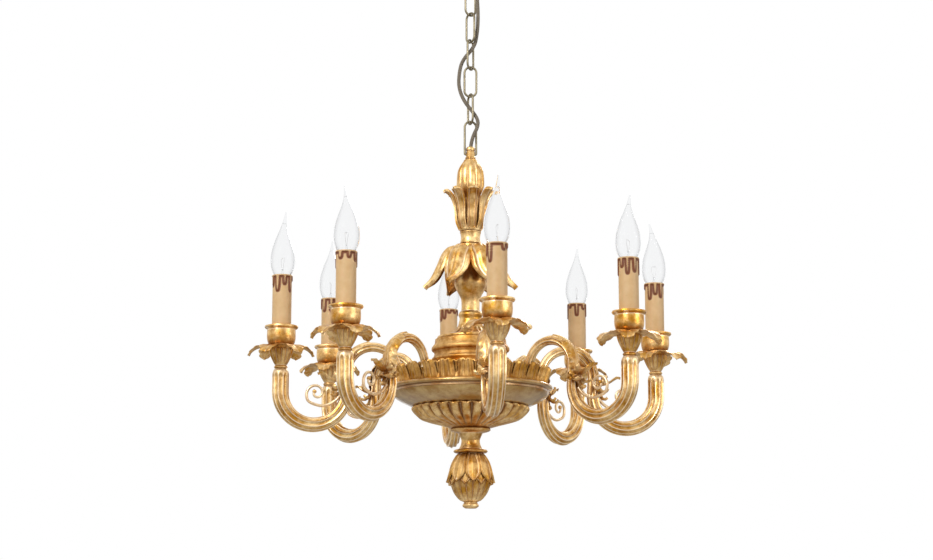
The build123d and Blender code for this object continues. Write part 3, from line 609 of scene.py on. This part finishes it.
def acanthus_width(reach, lobes, lobe_depth):
    """A half width with a full belly, a point and scalloped edges; reach is its greatest."""
    root, lean, fullness, point = 0.16, 0.9, 0.62, 0.04
    lobes_from, lobes_full = 0.05, 0.3

    def half_width(s):
        part = min(root + (1 - root) * s, 1.0)
        body = math.sin(math.pi * part ** lean) ** fullness
        cut = lobe_depth * smooth_step(lobes_from, lobes_full, s)
        return reach * max(body, point) * scalloped(s, lobes, cut)

    return half_width


# Stem, from the top


def build_loop_collar():
    foot, bore, socket = 5.2, 3.4, 6.0
    line = outline((foot, 0), (9.4, 0), [(9.3, 1.4), (7.0, 3.2)], [(7.6, 4.8), (6.3, 6.6)], (6.2, 14),
                   [(5.6, 14.8), (6.2, 15.6)], [(6.2, 18.6), (4.6, 20.8)], (bore, 20.8), (bore, socket),
                   (foot, socket))
    gilt("loop_collar", turned(line, seat("loop_collar"), segments=64))


def build_bud():
    lobes, height = 10, 54.0
    line = outline((ROD_BORE, 0), (12.0, 0), [(18.6, 14), (19.7, 24), (17.7, 41.6), (9.9, height)],
                   (ROD_BORE, height))
    carve = fluted(lobes, sharpness=0.55, depth=0.13,
                   fade=lambda r, h: smooth_step(ROD_BORE, 9.0, r) * smooth_step(height, 46, h))
    gilt("bud", turned(line, seat("bud"), segments=160, carve=carve), work="carved")


def build_leaf_cup():
    leaves = 8
    base = seat("leaf_cup")
    core = outline((ROD_BORE, 0), (14.8, 0), [(15.6, 3), (14.6, 6)], [(15.4, 14), (15.8, 30), (14.8, 46)],
                   (ROD_BORE, 46.8))
    spine = smooth_line([(15.2, 3), (19.2, 14), (20.8, 28), (22.8, 40), (27.5, 51), (33.5, 57),
                         (38.2, 56)], per_span=7)
    half_width = tapered(6.0, 8.4, swell=(0.1, 0.7), taper=(0.8, 1.0), cut=0.8)
    lift = channel(depth=1.2, rib=0.0, bead=1.5)
    blade = leaf(spine + (0, base), half_width, lift, thickness=1.7, across=28, side=-1, wrap=True)
    gilt("leaf_cup", joined(turned(core, base, segments=64), ring_of(blade, leaves)), LEAF_GOLD, "carved")


def build_stem_neck():
    height = 19.0
    line = outline((ROD_BORE, 0), (13.0, 0), [(14.8, 1.6), (14.2, 3.6)], [(13.4, 9.5), (14.2, 15.4)],
                   [(14.9, 17.2), (13.6, height)], (ROD_BORE, height))
    gilt("stem_neck", turned(line, seat("stem_neck"), segments=96))


def build_leaf_crown():
    leaves, first_turn, height = 6, -7.0, 20.0
    droop, tip_rise = 11.0, 0.45
    top = head("leaf_crown")
    hub = outline((ROD_BORE, 0), (14.6, 0), [(15.6, 6), (15.8, 13), (14.4, height)], (ROD_BORE, height))
    spine = smooth_line([(13.5, -13), (20, -5), (30, -4.5), (40, -15), (47, -32), (55, -48),
                         (66, -60.5)], per_span=7)
    half_width = tapered(6.63, 19.5, swell=(0.0, 0.42), taper=(0.66, 1.03), cut=0.9)
    veins = veined(lobes=3, edge_lift=0.0, vein=0.35)

    def lift(s, c):
        fall = droop * smooth_step(0.05, 0.5, s) * (1 - tip_rise * smooth_step(0.7, 1.0, s))
        return veins(s, c) - fall * c ** 2 + beaded(c, bead=2.5, groove=2.6)

    blade = leaf(spine + (0, top), half_width, lift, thickness=2.6, across=34)
    crown = joined(turned(hub, top - height, segments=64), ring_of(blade, leaves, first_turn))
    gilt("leaf_crown", crown, LEAF_GOLD, "carved")


def build_column():
    height = 87.0
    line = outline((ROD_BORE, 0), (15.3, 0), (15.3, 2.5), [(16.9, 7), (15.0, 11.2)], (12.9, 12),
                   [(12.6, 20), (13.6, 30), (19.5, 42), (22.4, 51), (21.0, 60), (15.5, 75), (12.0, height)],
                   (ROD_BORE, height))
    gilt("column", turned(line, seat("column"), segments=128))


def build_column_base():
    tongues, foot, height = 16, 46.0, 28.0
    line = outline((ROD_BORE, 0), (foot, 0), [(46.6, 2), (foot, 4)], [(29, 9), (19, 17), (15.3, height)],
                   (ROD_BORE, height))
    carve = fluted(tongues, sharpness=0.6, depth=0.10,
                   fade=lambda r, h: smooth_step(16, 22, r) * smooth_step(45.8, 42, r))
    gilt("column_base", turned(line, seat("column_base"), segments=256, carve=carve), work="carved")


def build_drum():
    height = 48.5
    line = outline((ROD_BORE, 0), (53, 0), [(54.4, 1.5), (54, 4)],
                   [(51.8, 7.5), (51.0, 12), (51.8, 16.5), (54, 20)], [(53.6, 22), (51.5, 23.5)],
                   [(50.2, 27), (51, 31)], [(53.8, 33), (54, 36.5), (52.5, 39)], (50, 42), (49.2, height),
                   (ROD_BORE, height))
    gilt("hub_drum", turned(line, seat("hub_drum"), segments=128), DARK_GOLD)


# Hub


def build_leaf_band():
    leaves, fan_ribs, fan_depth, bulge = 25, 1.75, 0.9, 3.6
    foot_half, narrowing, tip_cut = 12.3, 4.2, 0.72
    front_inset, back_inset = (2.6, 0), (8.5, 0.8)
    inside, floor, top = 101.0, 8.5, 16.5
    base = seat("leaf_band")
    deck = outline((ROD_BORE, floor), (inside, floor), (inside, 0), (103.0, 0),
                   [(101.8, 6), (101.4, 9), (101.0, 13)], (104.4, top), (ROD_BORE, top))
    spine = smooth_line([(104.2, 0.6), (105.0, 8), (107.6, 17), (111.0, 24.2), (112.4, 25.2)], per_span=5)
    spine = spine + (0, base)

    def half_width(s):
        return (foot_half - narrowing * s) * (1 - tip_cut * smooth_step(0.64, 1.06, s))

    def lift(s, c):
        fan = fan_depth * np.cos(TURN * fan_ribs * c) * smooth_step(1.0, 0.75, s) * smooth_step(-0.2, 0.3, s)
        return bulge * (1 - np.abs(c) ** 3) + fan

    front = leaf(spine - front_inset, half_width, lift, thickness=1.7, across=41, side=-1, wrap=True)
    back = leaf(spine - back_inset, half_width, lift, thickness=1.4, across=33, side=-1, wrap=True)
    band = joined(turned(deck, base, segments=128), ring_of(front, leaves),
                  ring_of(back, leaves, 180 / leaves))
    gilt("leaf_band", band, BAND_GOLD, "carved")


def build_bowl():
    rim, wall = 28.0, 5.0
    line = outline((ROD_BORE, 0), (82, 0), [(98.5, 8), (106.2, 13.5), (109, 18)], (107, 19), (106.8, 21.6),
                   (111.6, 22.8), [(113.3, 24.2), (113.2, 26.2), (111.5, rim)], (101, rim), (100.5, 26),
                   [(90, 18), (71, wall)], (ROD_BORE, wall))
    gilt("bowl", turned(line, seat("bowl"), segments=160), BOWL_GOLD)


def build_lower_bowl():
    gadroons, foot, height = 30, 27.0, 30.0
    line = outline((ROD_BORE, 0), (foot, 0),
                   [(41, 4), (66, 11), (76, 18), (81.5, 25), (80.5, 29), (76, height)],
                   (ROD_BORE, height), per_span=9)
    carve = fluted(gadroons, sharpness=0.5, depth=0.15,
                   fade=lambda r, h: smooth_step(foot, 44, r) * smooth_step(30.2, 26, h))
    gilt("lower_bowl", turned(line, seat("lower_bowl"), segments=360, carve=carve), work="carved")


# Finial group


def build_neck_spool():
    height = 34.0
    line = outline((ROD_BORE, 0), (22, 0), [(23.6, 1.8), (22.6, 3.8)], (16.0, 5.5),
                   [(13.4, 12), (13.0, 18), (16.8, 27)], (26, 29.6), [(27.8, 31.6), (26.4, height)],
                   (ROD_BORE, height))
    gilt("neck_spool", turned(line, seat("neck_spool"), segments=96))


def build_finial():
    flutes, foot, height = 16, 10.3, 67.0
    line = outline((ROD_BORE, 0), (foot, 0),
                   [(16, 3), (22.5, 11), (26, 19), (28.4, 27), (27, 37), (22, 51), (14, 64)],
                   (14, height), (ROD_BORE, height))
    carve = fluted(flutes, sharpness=0.55, depth=0.15,
                   fade=lambda r, h: smooth_step(foot, 15, r) * smooth_step(44, 34, h))
    gilt("finial", turned(line, seat("finial"), segments=192, carve=carve), LEAF_GOLD, "carved")


def build_finial_leaves():
    leaves = 8
    rim, rim_at, rim_width = 2.4, 0.84, 0.15
    rib, rib_width, sink = 0.5, 0.12, 0.8
    spine = smooth_line([(16, 65), (20.5, 60), (25.5, 51), (29, 38), (30.6, 30), (32.2, 25.5)], per_span=7)
    spine = spine + (0, seat("finial"))
    half_width = tapered(6.4, 11.4, swell=(0.0, 0.5), taper=(0.55, 1.0), cut=0.93)

    def rimmed(s, c):
        return rim * bell(np.abs(c) - rim_at, rim_width) + rib * bell(c, rib_width) - sink

    over = leaf(spine, half_width, rimmed, thickness=2.2, across=34, wrap=True)
    lift = channel(depth=1.0, rib=0.8, bead=0.9)
    under = leaf(spine - (1.6, 3.0), half_width, lift, thickness=1.8, across=22, wrap=True)
    group = joined(ring_of(over, leaves), ring_of(under, leaves, 180 / leaves))
    gilt("finial_leaves", group, RIM_GOLD, "carved")


def build_finial_button():
    axis, height = 0.4, 9.0
    line = outline((axis, 0), (7.4, 0), [(10.6, 2.2), (11.2, 4.5), (9.8, 6.6)], (9.0, height),
                   (axis, height))
    gilt("finial_button", turned(line, seat("finial_button"), segments=64, wrap=False))


# Arms: each goes down from its candle, round a U bend, up its leg and over an arch to the deck

ARM_ROOT = 100.0
ARCH_RADIUS = 36.0
U_RADIUS = 45.0
U_DROP = 27.5
CANDLE_RISE = 31.0
ARCH_CENTRE = ARM_ROOT + ARCH_RADIUS
LEG = ARCH_CENTRE + ARCH_RADIUS
ARM_REACH = LEG + 2 * U_RADIUS
DECK = seat("hub_drum")
U_LEVEL = DECK - U_DROP
ARM_TOP = U_LEVEL + CANDLE_RISE
# An arm's radius at lengths along it from the candle
ARM_RADII = [(0, 8.6), (2.5, 10.4), (7, 11.4), (31, 11.5), (102, 10.2), (172, 8.7), (200, 7.2), (313, 6.0)]
FLUTES = 10
FLUTE_DEPTH = 0.15
FLUTE_SHARE = 0.82
FLUTE_START, FLUTE_ROUND, FLUTE_RUN_IN = 10.5, 4.5, 3.0
FLUTE_END, FLUTE_FADE = 2.0, 12.0
SIDES_PER_FLUTE = 7


def arm_line():
    """Points along the first arm's centre line, from the candle to the root."""
    down = [(ARM_REACH, z) for z in np.linspace(ARM_TOP, U_LEVEL, 12, endpoint=False)]
    turns = np.linspace(0, -math.pi, 44, endpoint=False)
    bend = [(LEG + U_RADIUS + U_RADIUS * math.cos(a), U_LEVEL + U_RADIUS * math.sin(a)) for a in turns]
    up = [(LEG, z) for z in np.linspace(U_LEVEL, DECK, 9, endpoint=False)]
    turns = np.linspace(0, math.pi, 40)
    arch = [(ARCH_CENTRE + ARCH_RADIUS * math.cos(a), DECK + ARCH_RADIUS * math.sin(a)) for a in turns]
    return np.array([(x, 0, z) for x, z in down + bend + up + arch])


def build_arms():
    line = arm_line()
    run = run_along(line)

    def section(turns, step):
        across = (turns * FLUTES / TURN) % 1 * 2 - 1
        flute = np.sqrt(np.clip(1 - (across / FLUTE_SHARE) ** 2, 0, 1))
        rounded_start = FLUTE_START - FLUTE_ROUND * flute
        begun = smooth_step(0, FLUTE_RUN_IN, run[step] - rounded_start)
        left = smooth_step(run[-1] - FLUTE_END, run[-1] - FLUTE_FADE, run[step])
        return 1 - FLUTE_DEPTH * flute * begun * left

    radii = np.interp(run, *zip(*ARM_RADII))
    mesh = new_mesh("arm", tube(line, radii, FLUTES * SIDES_PER_FLUTE, section), GOLD)
    for number in range(ARM_COUNT):
        piece(f"arm_{number + 1}_carved", mesh, "chandelier", "gilt_wood", f"arm_{number + 1}",
              turn=ARM_STEP * number)


# The curled leaves round each leg, out from it and up from the deck, with their turns and half widths
SPIKE = [(7, -11), (11, -12), (15.5, -9.5), (18.5, -5), (19, 0)]
LONG_TIP = [(6.5, -9), (13, -11), (21, -9), (29, -4), (35, -1), (39.5, -2)]
LOW = [(7, -14), (11, -19.5), (16, -22.5), (21, -22), (24, -18.5)]
LOWEST = [(7, -19), (9.5, -26), (13, -30.5), (17.5, -31.5), (20.5, -29)]
SIDE = [(6.5, -11), (9.5, -17), (13, -20.5), (17, -20.5), (19.5, -17)]
CLUSTER = [(SPIKE, 34, 5.2), (SPIKE, -34, 5.2), (LONG_TIP, 0, 6.6), (LOW, 38, 6.6), (LOW, -38, 6.6),
           (LOWEST, 0, 6.6), (SIDE, 70, 5.2), (SIDE, -70, 5.2)]


def blade_shell():
    """The long leaf that hugs an arm's arch and leg."""
    gap, hug, scallops, scallop_depth = 7.6, 6.5, 7, 0.22
    arch = ARCH_RADIUS + gap
    turns = np.radians((84, 66, 48, 32, 18, 6))
    over = [(ARCH_CENTRE + arch * math.cos(a), DECK + arch * math.sin(a)) for a in turns]
    tip = [(LEG + 8.4, DECK - 5), (LEG + 9.0, DECK - 11), (LEG + 11.0, DECK - 16.5), (LEG + 14.5, DECK - 19)]
    body = tapered(4.375, 12.5, swell=(0.0, 0.35), taper=(0.86, 1.02), cut=0.75)
    veins = veined(lobes=6, edge_lift=1.2, vein=0.6)

    def half_width(s):
        return body(s) * scalloped(s, scallops, scallop_depth * smooth_step(0.1, 0.5, s))

    def hugging(s, c):
        return veins(s, c) - hug * (1 - 0.5 * smooth_step(0.8, 1.0, s)) * c ** 2

    return leaf(smooth_line(over + tip, per_span=6), half_width, hugging, thickness=2.0, across=26)


def build_arm_leaves():
    shells = [blade_shell()]
    lift = veined(lobes=3, edge_lift=2.0, vein=0.45)
    for line, swing, reach in CLUSTER:
        half_width = acanthus_width(reach, lobes=3, lobe_depth=0.3)
        curl = leaf(smooth_line(line, per_span=5), half_width, lift, thickness=1.6, across=16)
        shells.append(moved(curl, swing, (LEG, 0, DECK)))
    gilt("arm_leaves", ring_of(joined(*shells), ARM_COUNT), LEAF_GOLD, "carved")


COIL_STEPS = 13
COIL_STEP_ANGLE = TURN / 9
COIL_RADIUS = 17.5
COIL_SHRINK = 0.885
COIL_DRIFT = 1.0
COIL_OUT, COIL_DROP = 41.0, 1.2
SCROLL_RADII = (2.2, 1.6)
SCROLL_BALL = 2.9


def build_scrolls():
    line = [(LEG + 8.5, U_LEVEL - 4.0), (LEG + 15, U_LEVEL - 11.5), (LEG + 25, U_LEVEL - 17.2),
            (LEG + 36, U_LEVEL - 18.6)]
    for n in range(1, COIL_STEPS):
        a = n * COIL_STEP_ANGLE - math.pi / 2
        r = COIL_RADIUS * COIL_SHRINK ** n
        drift = COIL_DRIFT * n / (COIL_STEPS - 1)
        line.append((LEG + COIL_OUT + r * math.cos(a) - drift, U_LEVEL - COIL_DROP + r * math.sin(a)))
    line = smooth_line(line, per_span=6)
    points = np.stack([line[:, 0], np.zeros(len(line)), line[:, 1]], 1)
    wire = tube(points, np.linspace(*SCROLL_RADII, len(line)), sides=12)
    pole = 0.05
    arc = np.linspace(pole, math.pi - pole, 14)
    round_line = np.stack([SCROLL_BALL * np.sin(arc) + 0.02, -SCROLL_BALL * np.cos(arc)], 1)
    ball = turned(round_line, 0, segments=16, wrap=False)
    scroll = joined(wire, moved(ball, place=points[-1]))
    gilt("arm_scrolls", ring_of(scroll, ARM_COUNT), work="wrought")


# Candle units, built on the axis and set on each arm


def on_candles(shell):
    """A candle shell on every arm."""
    return ring_of(moved(shell, place=(ARM_REACH, 0, 0)), ARM_COUNT)


def build_drip_pans():
    petals, height = 6, 31.6
    calyx = outline((NIPPLE_BORE, 0), (7.6, 0), [(9.3, 2.4), (7.8, 4.8)],
                    [(11.5, 11), (15.6, 20), (17.0, 27), (15.5, height)], (NIPPLE_BORE, height))
    carve = fluted(2 * petals, sharpness=0.6, depth=0.14,
                   fade=lambda r, h: smooth_step(6, 12, h) * smooth_step(31, 26, h))
    spine = smooth_line([(12, 27.5), (20, 30.4), (29, 30.2), (37, 27.0), (42.5, 21.8),
                         (44.5, 17.5)], per_span=5)
    width = acanthus_width(16.0, lobes=4, lobe_depth=0.24)
    lift = veined(lobes=4, edge_lift=1.4, vein=0.45)
    root = 0.1
    petal = leaf(spine + (0, ARM_TOP), lambda s: width(root + (1 - root) * s), lift, thickness=2.2,
                 across=18)
    pan = joined(turned(calyx, ARM_TOP, segments=108, carve=carve), ring_of(petal, petals))
    gilt("drip_pans", on_candles(pan), work="carved")


def build_candle_cups():
    bore, floor = 13.8, 8.0
    line = outline((NIPPLE_BORE, 0), (14.5, 0), [(16.6, 1.0), (18.7, 5.5), (19.7, 12), (19.4, 22.4)],
                   (21.8, 23.8), [(22.9, 25.4), (22.5, 27.4)], (20.6, 28), (bore, 27.2), (bore, floor),
                   (NIPPLE_BORE, floor))
    gilt("candle_cups", on_candles(turned(line, seat("candle_cups"), segments=64)))


SLEEVE_RADIUS = 13.5
SLEEVE_LENGTH = 90.0
SLEEVE_WALL = 1.3
SLEEVE_SIDES = 96
# Wax on the sleeves: depths below the top in millimetres, places and widths round the sleeve in radians
DRIP_SEED = 7
DRIP_ZONE = 30.0
WAX_RIM = 3.2
FIRST_DRIP = (0, 0.6)
LONG_SHARE = 0.75
LONG_DRIPS = (13, 25)
SHORT_DRIPS = (6, 11)
DRIP_HALF_WIDTHS = (0.16, 0.22)
DRIP_STEPS = (0.55, 0.95)
SEAM_GAP = 0.35


def drip_edge_line(rng):
    """The lower edge of one candle's wax: depth below the top for each turn, with drips of many lengths."""
    turns = np.linspace(0, TURN, 361)
    depth = np.full(len(turns), WAX_RIM)
    angle = rng.uniform(*FIRST_DRIP)
    while angle < TURN - SEAM_GAP:
        long_drip = rng.random() < LONG_SHARE
        reach = rng.uniform(*(LONG_DRIPS if long_drip else SHORT_DRIPS))
        half = rng.uniform(*DRIP_HALF_WIDTHS)
        off = np.abs((turns - angle + math.pi) % TURN - math.pi)
        shape = np.where(off < half, reach * np.sqrt(np.clip(1 - (off / half) ** 4, 0, 1)), 0)
        depth = np.maximum(depth, shape)
        angle += rng.uniform(*DRIP_STEPS)
    return turns, depth


def sleeve_shell(rng):
    """A candle sleeve with wax drips, and how near each of its points is to a drip's edge."""
    inset, wax_rise, rim_round, rim_depth = 0.25, 1.15, 0.5, 1.2
    mark_shift, mark_width = 0.2, 2.1
    base = seat("candle_sleeves")
    turns, depth = drip_edge_line(rng)
    edge = np.stack([turns * SLEEVE_RADIUS, depth], 1)
    edge = np.concatenate([np.linspace(a, b, 4) for a, b in zip(edge[:-1], edge[1:])])
    plain = np.linspace(0, SLEEVE_LENGTH - DRIP_ZONE, 8)
    waxed = np.linspace(SLEEVE_LENGTH - DRIP_ZONE + 1, SLEEVE_LENGTH, 50)
    angles = np.arange(SLEEVE_SIDES) / SLEEVE_SIDES * TURN
    rings, marks = [], []
    for height in np.r_[plain, waxed]:
        drop = SLEEVE_LENGTH - height
        spots = np.stack([angles * SLEEVE_RADIUS, np.full(SLEEVE_SIDES, drop)], 1)
        gap = np.linalg.norm(spots[:, None] - edge[None], axis=2).min(1)
        signed = np.where(drop < np.interp(angles, turns, depth), gap, -gap)
        radii = SLEEVE_RADIUS - inset + wax_rise * smooth_step(-0.5, 1.4, signed)
        radii = radii - rim_round * smooth_step(rim_depth, 0, drop)
        rings.append(ring_at(radii, angles, base + height))
        marks.append(bell(signed + mark_shift, mark_width))
    for height in (SLEEVE_LENGTH, 0):
        rings.append(ring_at(SLEEVE_RADIUS - SLEEVE_WALL, angles, base + height))
        marks.append(np.zeros(SLEEVE_SIDES))
    return skin(rings, wrap=True), np.concatenate(marks)


def build_sleeves():
    rng = random.Random(DRIP_SEED)
    shells, marks = [], []
    for number in range(ARM_COUNT):
        shell, mark = sleeve_shell(rng)
        shells.append(moved(moved(shell, place=(ARM_REACH, 0, 0)), ARM_STEP * number))
        marks.append(mark)
    mesh = new_mesh("candle_sleeves", joined(*shells), WAX)
    drip_edge = mesh.attributes.new("drip_edge", "FLOAT", "POINT")
    drip_edge.data.foreach_set("value", np.concatenate(marks).astype(np.float32))
    piece("candle_sleeves_waxed", mesh, "chandelier", "candle_sleeve", "candle_sleeves")


# Bulbs: flame-shaped glass with a bent tip, on a screw cap

GLASS_LINE = [(7.0, 0), (10.6, 7), (14.8, 14), (17.4, 25), (16.4, 41), (11.6, 57), (6.4, 70), (3.3, 80),
              (1.8, 88), (0.9, 96)]
GLASS_WALL = 0.7
GLASS_SEGMENTS = 44
HOLLOW_POINTS = 8
TIP_BEND = 7.0
TIP_BEND_FROM = 60.0
TIP_CURVE = 1.6
TIP_TURNS = [200.0, 20.0, 160.0, 300.0, 120.0, 250.0, 10.0, 90.0]
CAP_AXIS = 0.3
THREAD_RADIUS, THREAD_DEPTH, THREAD_STEP = 6.9, 0.5, 1.6
FILAMENT_RADIUS = 0.16


def bent(shell, base):
    """A bulb's shell with its tip bent towards +X."""
    verts, faces = shell
    height = verts[:, 2] - base
    over = np.clip((height - TIP_BEND_FROM) / (GLASS_LINE[-1][1] - TIP_BEND_FROM), 0, 1)
    return verts + np.stack([TIP_BEND * over ** TIP_CURVE, 0 * over, 0 * over], 1), faces


def glass_mesh(base):
    """A bulb's glass: an outside and a hollow."""
    hollow = [(max(r - GLASS_WALL, 0.4), h + GLASS_WALL) for r, h in GLASS_LINE[:HOLLOW_POINTS]]
    outside = bent(turned(smooth_line(GLASS_LINE, per_span=5), base, GLASS_SEGMENTS, wrap=False), base)
    inside = bent(turned(smooth_line(hollow, per_span=5)[::-1], base, GLASS_SEGMENTS, wrap=False), base)
    mesh = new_mesh("bulb_glass", joined(outside, inside), GLASS, GLASS_CREASE)
    mesh.materials.append(INNER_GLASS)
    mesh.polygons.foreach_set("material_index", [0] * len(outside[1]) + [1] * len(inside[1]))
    return mesh


def cap_mesh(base):
    """A bulb's screw cap, from the glass down to its contact."""
    low = seat("bulb_1") - base
    threads = [(THREAD_RADIUS - THREAD_DEPTH * (n % 2), -2 - n * THREAD_STEP) for n in range(14)]
    line = [(CAP_AXIS, -0.1), (6.7, -0.1), *threads, (3.0, low + 2), (2.6, low), (CAP_AXIS, low)]
    return new_mesh("bulb_cap", turned(line[::-1], base, segments=48, wrap=False), BRASS)


def stem_mesh(base):
    """The glass stem inside a bulb."""
    line = outline((CAP_AXIS, 1.2), (3.6, 1.2), [(2.2, 6), (1.5, 13), (1.2, 17)], (CAP_AXIS, 17))
    return new_mesh("bulb_stem", turned(line[::-1], base, segments=20, wrap=False), GLASS, GLASS_CREASE)


def filament_mesh(base):
    """A bulb's wires, up from the stem and over to each other."""
    legs = []
    for side in (-1, 1):
        line = smooth_line([(side * 0.6, 0, 15), (side * 2.4, 0, 22), (side * 4.2, 0, 30),
                            (side * 1.5, 1.2, 33), (0, 0, 31.5)], per_span=6)
        legs.append(tube(line + (0, 0, base), FILAMENT_RADIUS, sides=6))
    return new_mesh("bulb_filament", joined(*legs), STEEL)


def build_bulbs():
    base = head("lampholders")
    layers = [("glass", glass_mesh(base), "bulb_glass"), ("cap", cap_mesh(base), "brass_fitting"),
              ("stem", stem_mesh(base), "bulb_glass"), ("filament", filament_mesh(base), "steel_rod")]
    for number in range(ARM_COUNT):
        bulb = f"bulb_{number + 1}"
        a = math.radians(ARM_STEP * number)
        place = (ARM_REACH * MM * math.cos(a), ARM_REACH * MM * math.sin(a), 0)
        for name, mesh, slot in layers:
            nodes = [bulb] if name == "glass" else []
            piece(f"{bulb}_{name}", mesh, bulb, slot, *nodes, turn=ARM_STEP * number + TIP_TURNS[number],
                  place=place)


# CAD nodes that keep their shape get a finish of their own

FINISHES = {
    "ceiling_hook": BRONZE, "canopy": BRONZE, "canopy_collar": BRONZE, "collar_screw": BRONZE,
    "bail": BRONZE, "center_rod": STEEL, "arm_nipples": BRASS, "candle_nipples": BRASS, "arm_wires": WIRE,
    "lampholders": HOLDER, "terminal_block": BLOCK, "junction_block": BLOCK,
    **{f"chain_link_{n}": BRONZE for n in range(1, 6)},
}


def finish_nodes():
    for node, material in FINISHES.items():
        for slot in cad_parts[node].material_slots:
            slot.material = material


# Studio, in metres

AMBIENT = 0.3
FLOOR_DROP = 1.1
FLOOR_REACH = 9.0
FLOOR_GLOW = 0.75
LAMP_AIM = (0, 0, -0.60)
# Each lamp's name, place, size and power in watts
LAMPS = [("key", (-1.6, -2.0, 0.9), 0.7, 50.0), ("fill", (2.2, -1.8, -0.2), 1.2, 19.0),
         ("rim", (0.9, 2.2, 0.8), 0.9, 26.0)]


def ray_share(add, link, *kinds):
    """1 for rays of any of these kinds and 0 for the rest."""
    rays = add("ShaderNodeLightPath").outputs
    share = rays[kinds[0]]
    for kind in kinds[1:]:
        either = add("ShaderNodeMath", operation="MAXIMUM")
        link(either.inputs[0], share)
        link(either.inputs[1], rays[kind])
        share = either.outputs[0]
    return share


def build_camera():
    data = bpy.data.cameras.new("camera")
    data.lens = CAMERA_LENS
    data.sensor_width = SENSOR_WIDTH
    camera = bpy.data.objects.new("camera", data)
    camera.location = CAMERA_PLACE
    camera.rotation_euler = (math.radians(90 + CAMERA_PITCH), 0, math.radians(CAMERA_TURN))
    bpy.context.scene.collection.objects.link(camera)
    bpy.context.scene.camera = camera
    bpy.context.scene.view_settings.view_transform = "Standard"


def build_backdrop():
    world = bpy.data.worlds.new("studio")
    bpy.context.scene.world = world
    world.use_nodes = True
    add, link = node_tools(world.node_tree)
    seen = ray_share(add, link, "Is Camera Ray", "Is Glossy Ray", "Is Transmission Ray")
    strength = add("ShaderNodeMapRange", Value=seen, To_Min=AMBIENT, To_Max=1.0)
    background = next(n for n in world.node_tree.nodes if n.type == "BACKGROUND")
    link(background.inputs["Strength"], strength.outputs["Result"])
    link(background.inputs["Color"], (1, 1, 1, 1))


def floor_material():
    """Pale floor that still takes the part's shadow."""
    material, shader, add, link = new_material("floor")
    cloud = noise(add, scale=2.0, detail=2.0)
    link(shader.inputs["Base Color"], ramp(add, cloud, [(0.3, 0.80), (0.7, 0.84)]))
    link(shader.inputs["Roughness"], 0.8)
    glow = add("ShaderNodeMath", operation="MULTIPLY")
    link(glow.inputs[0], ray_share(add, link, "Is Camera Ray", "Is Transmission Ray"))
    link(glow.inputs[1], FLOOR_GLOW)
    pale = add("ShaderNodeMixShader")
    link(pale.inputs[0], glow.outputs[0])
    link(pale.inputs[1], shader.outputs[0])
    link(pale.inputs[2], add("ShaderNodeEmission").outputs[0])
    output = next(n for n in material.node_tree.nodes if n.type == "OUTPUT_MATERIAL")
    link(output.inputs["Surface"], pale.outputs[0])
    return material


def build_floor():
    level = cad_box[0][2] - FLOOR_DROP
    corners = [(x * FLOOR_REACH, y * FLOOR_REACH, level) for x, y in ((-1, -1), (1, -1), (1, 1), (-1, 1))]
    mesh = bpy.data.meshes.new("floor")
    mesh.from_pydata(corners, [], [(0, 1, 2, 3)])
    mesh.materials.append(floor_material())
    floor = bpy.data.objects.new("floor", mesh)
    bpy.context.scene.collection.objects.link(floor)


def build_lamps():
    for name, place, size, power in LAMPS:
        data = bpy.data.lights.new(name, "AREA")
        data.size = size
        data.energy = power
        lamp = bpy.data.objects.new(name, data)
        lamp.location = place
        lamp.rotation_euler = (Vector(LAMP_AIM) - Vector(place)).to_track_quat("-Z", "Y").to_euler()
        bpy.context.scene.collection.objects.link(lamp)


build_camera()
build_cord()
build_loop_collar()
build_bud()
build_leaf_cup()
build_stem_neck()
build_leaf_crown()
build_column()
build_column_base()
build_drum()
build_leaf_band()
build_bowl()
build_lower_bowl()
build_neck_spool()
build_finial()
build_finial_leaves()
build_finial_button()
build_arms()
build_arm_leaves()
build_scrolls()
build_drip_pans()
build_candle_cups()
build_sleeves()
build_bulbs()
finish_nodes()
build_backdrop()
build_floor()
build_lamps()
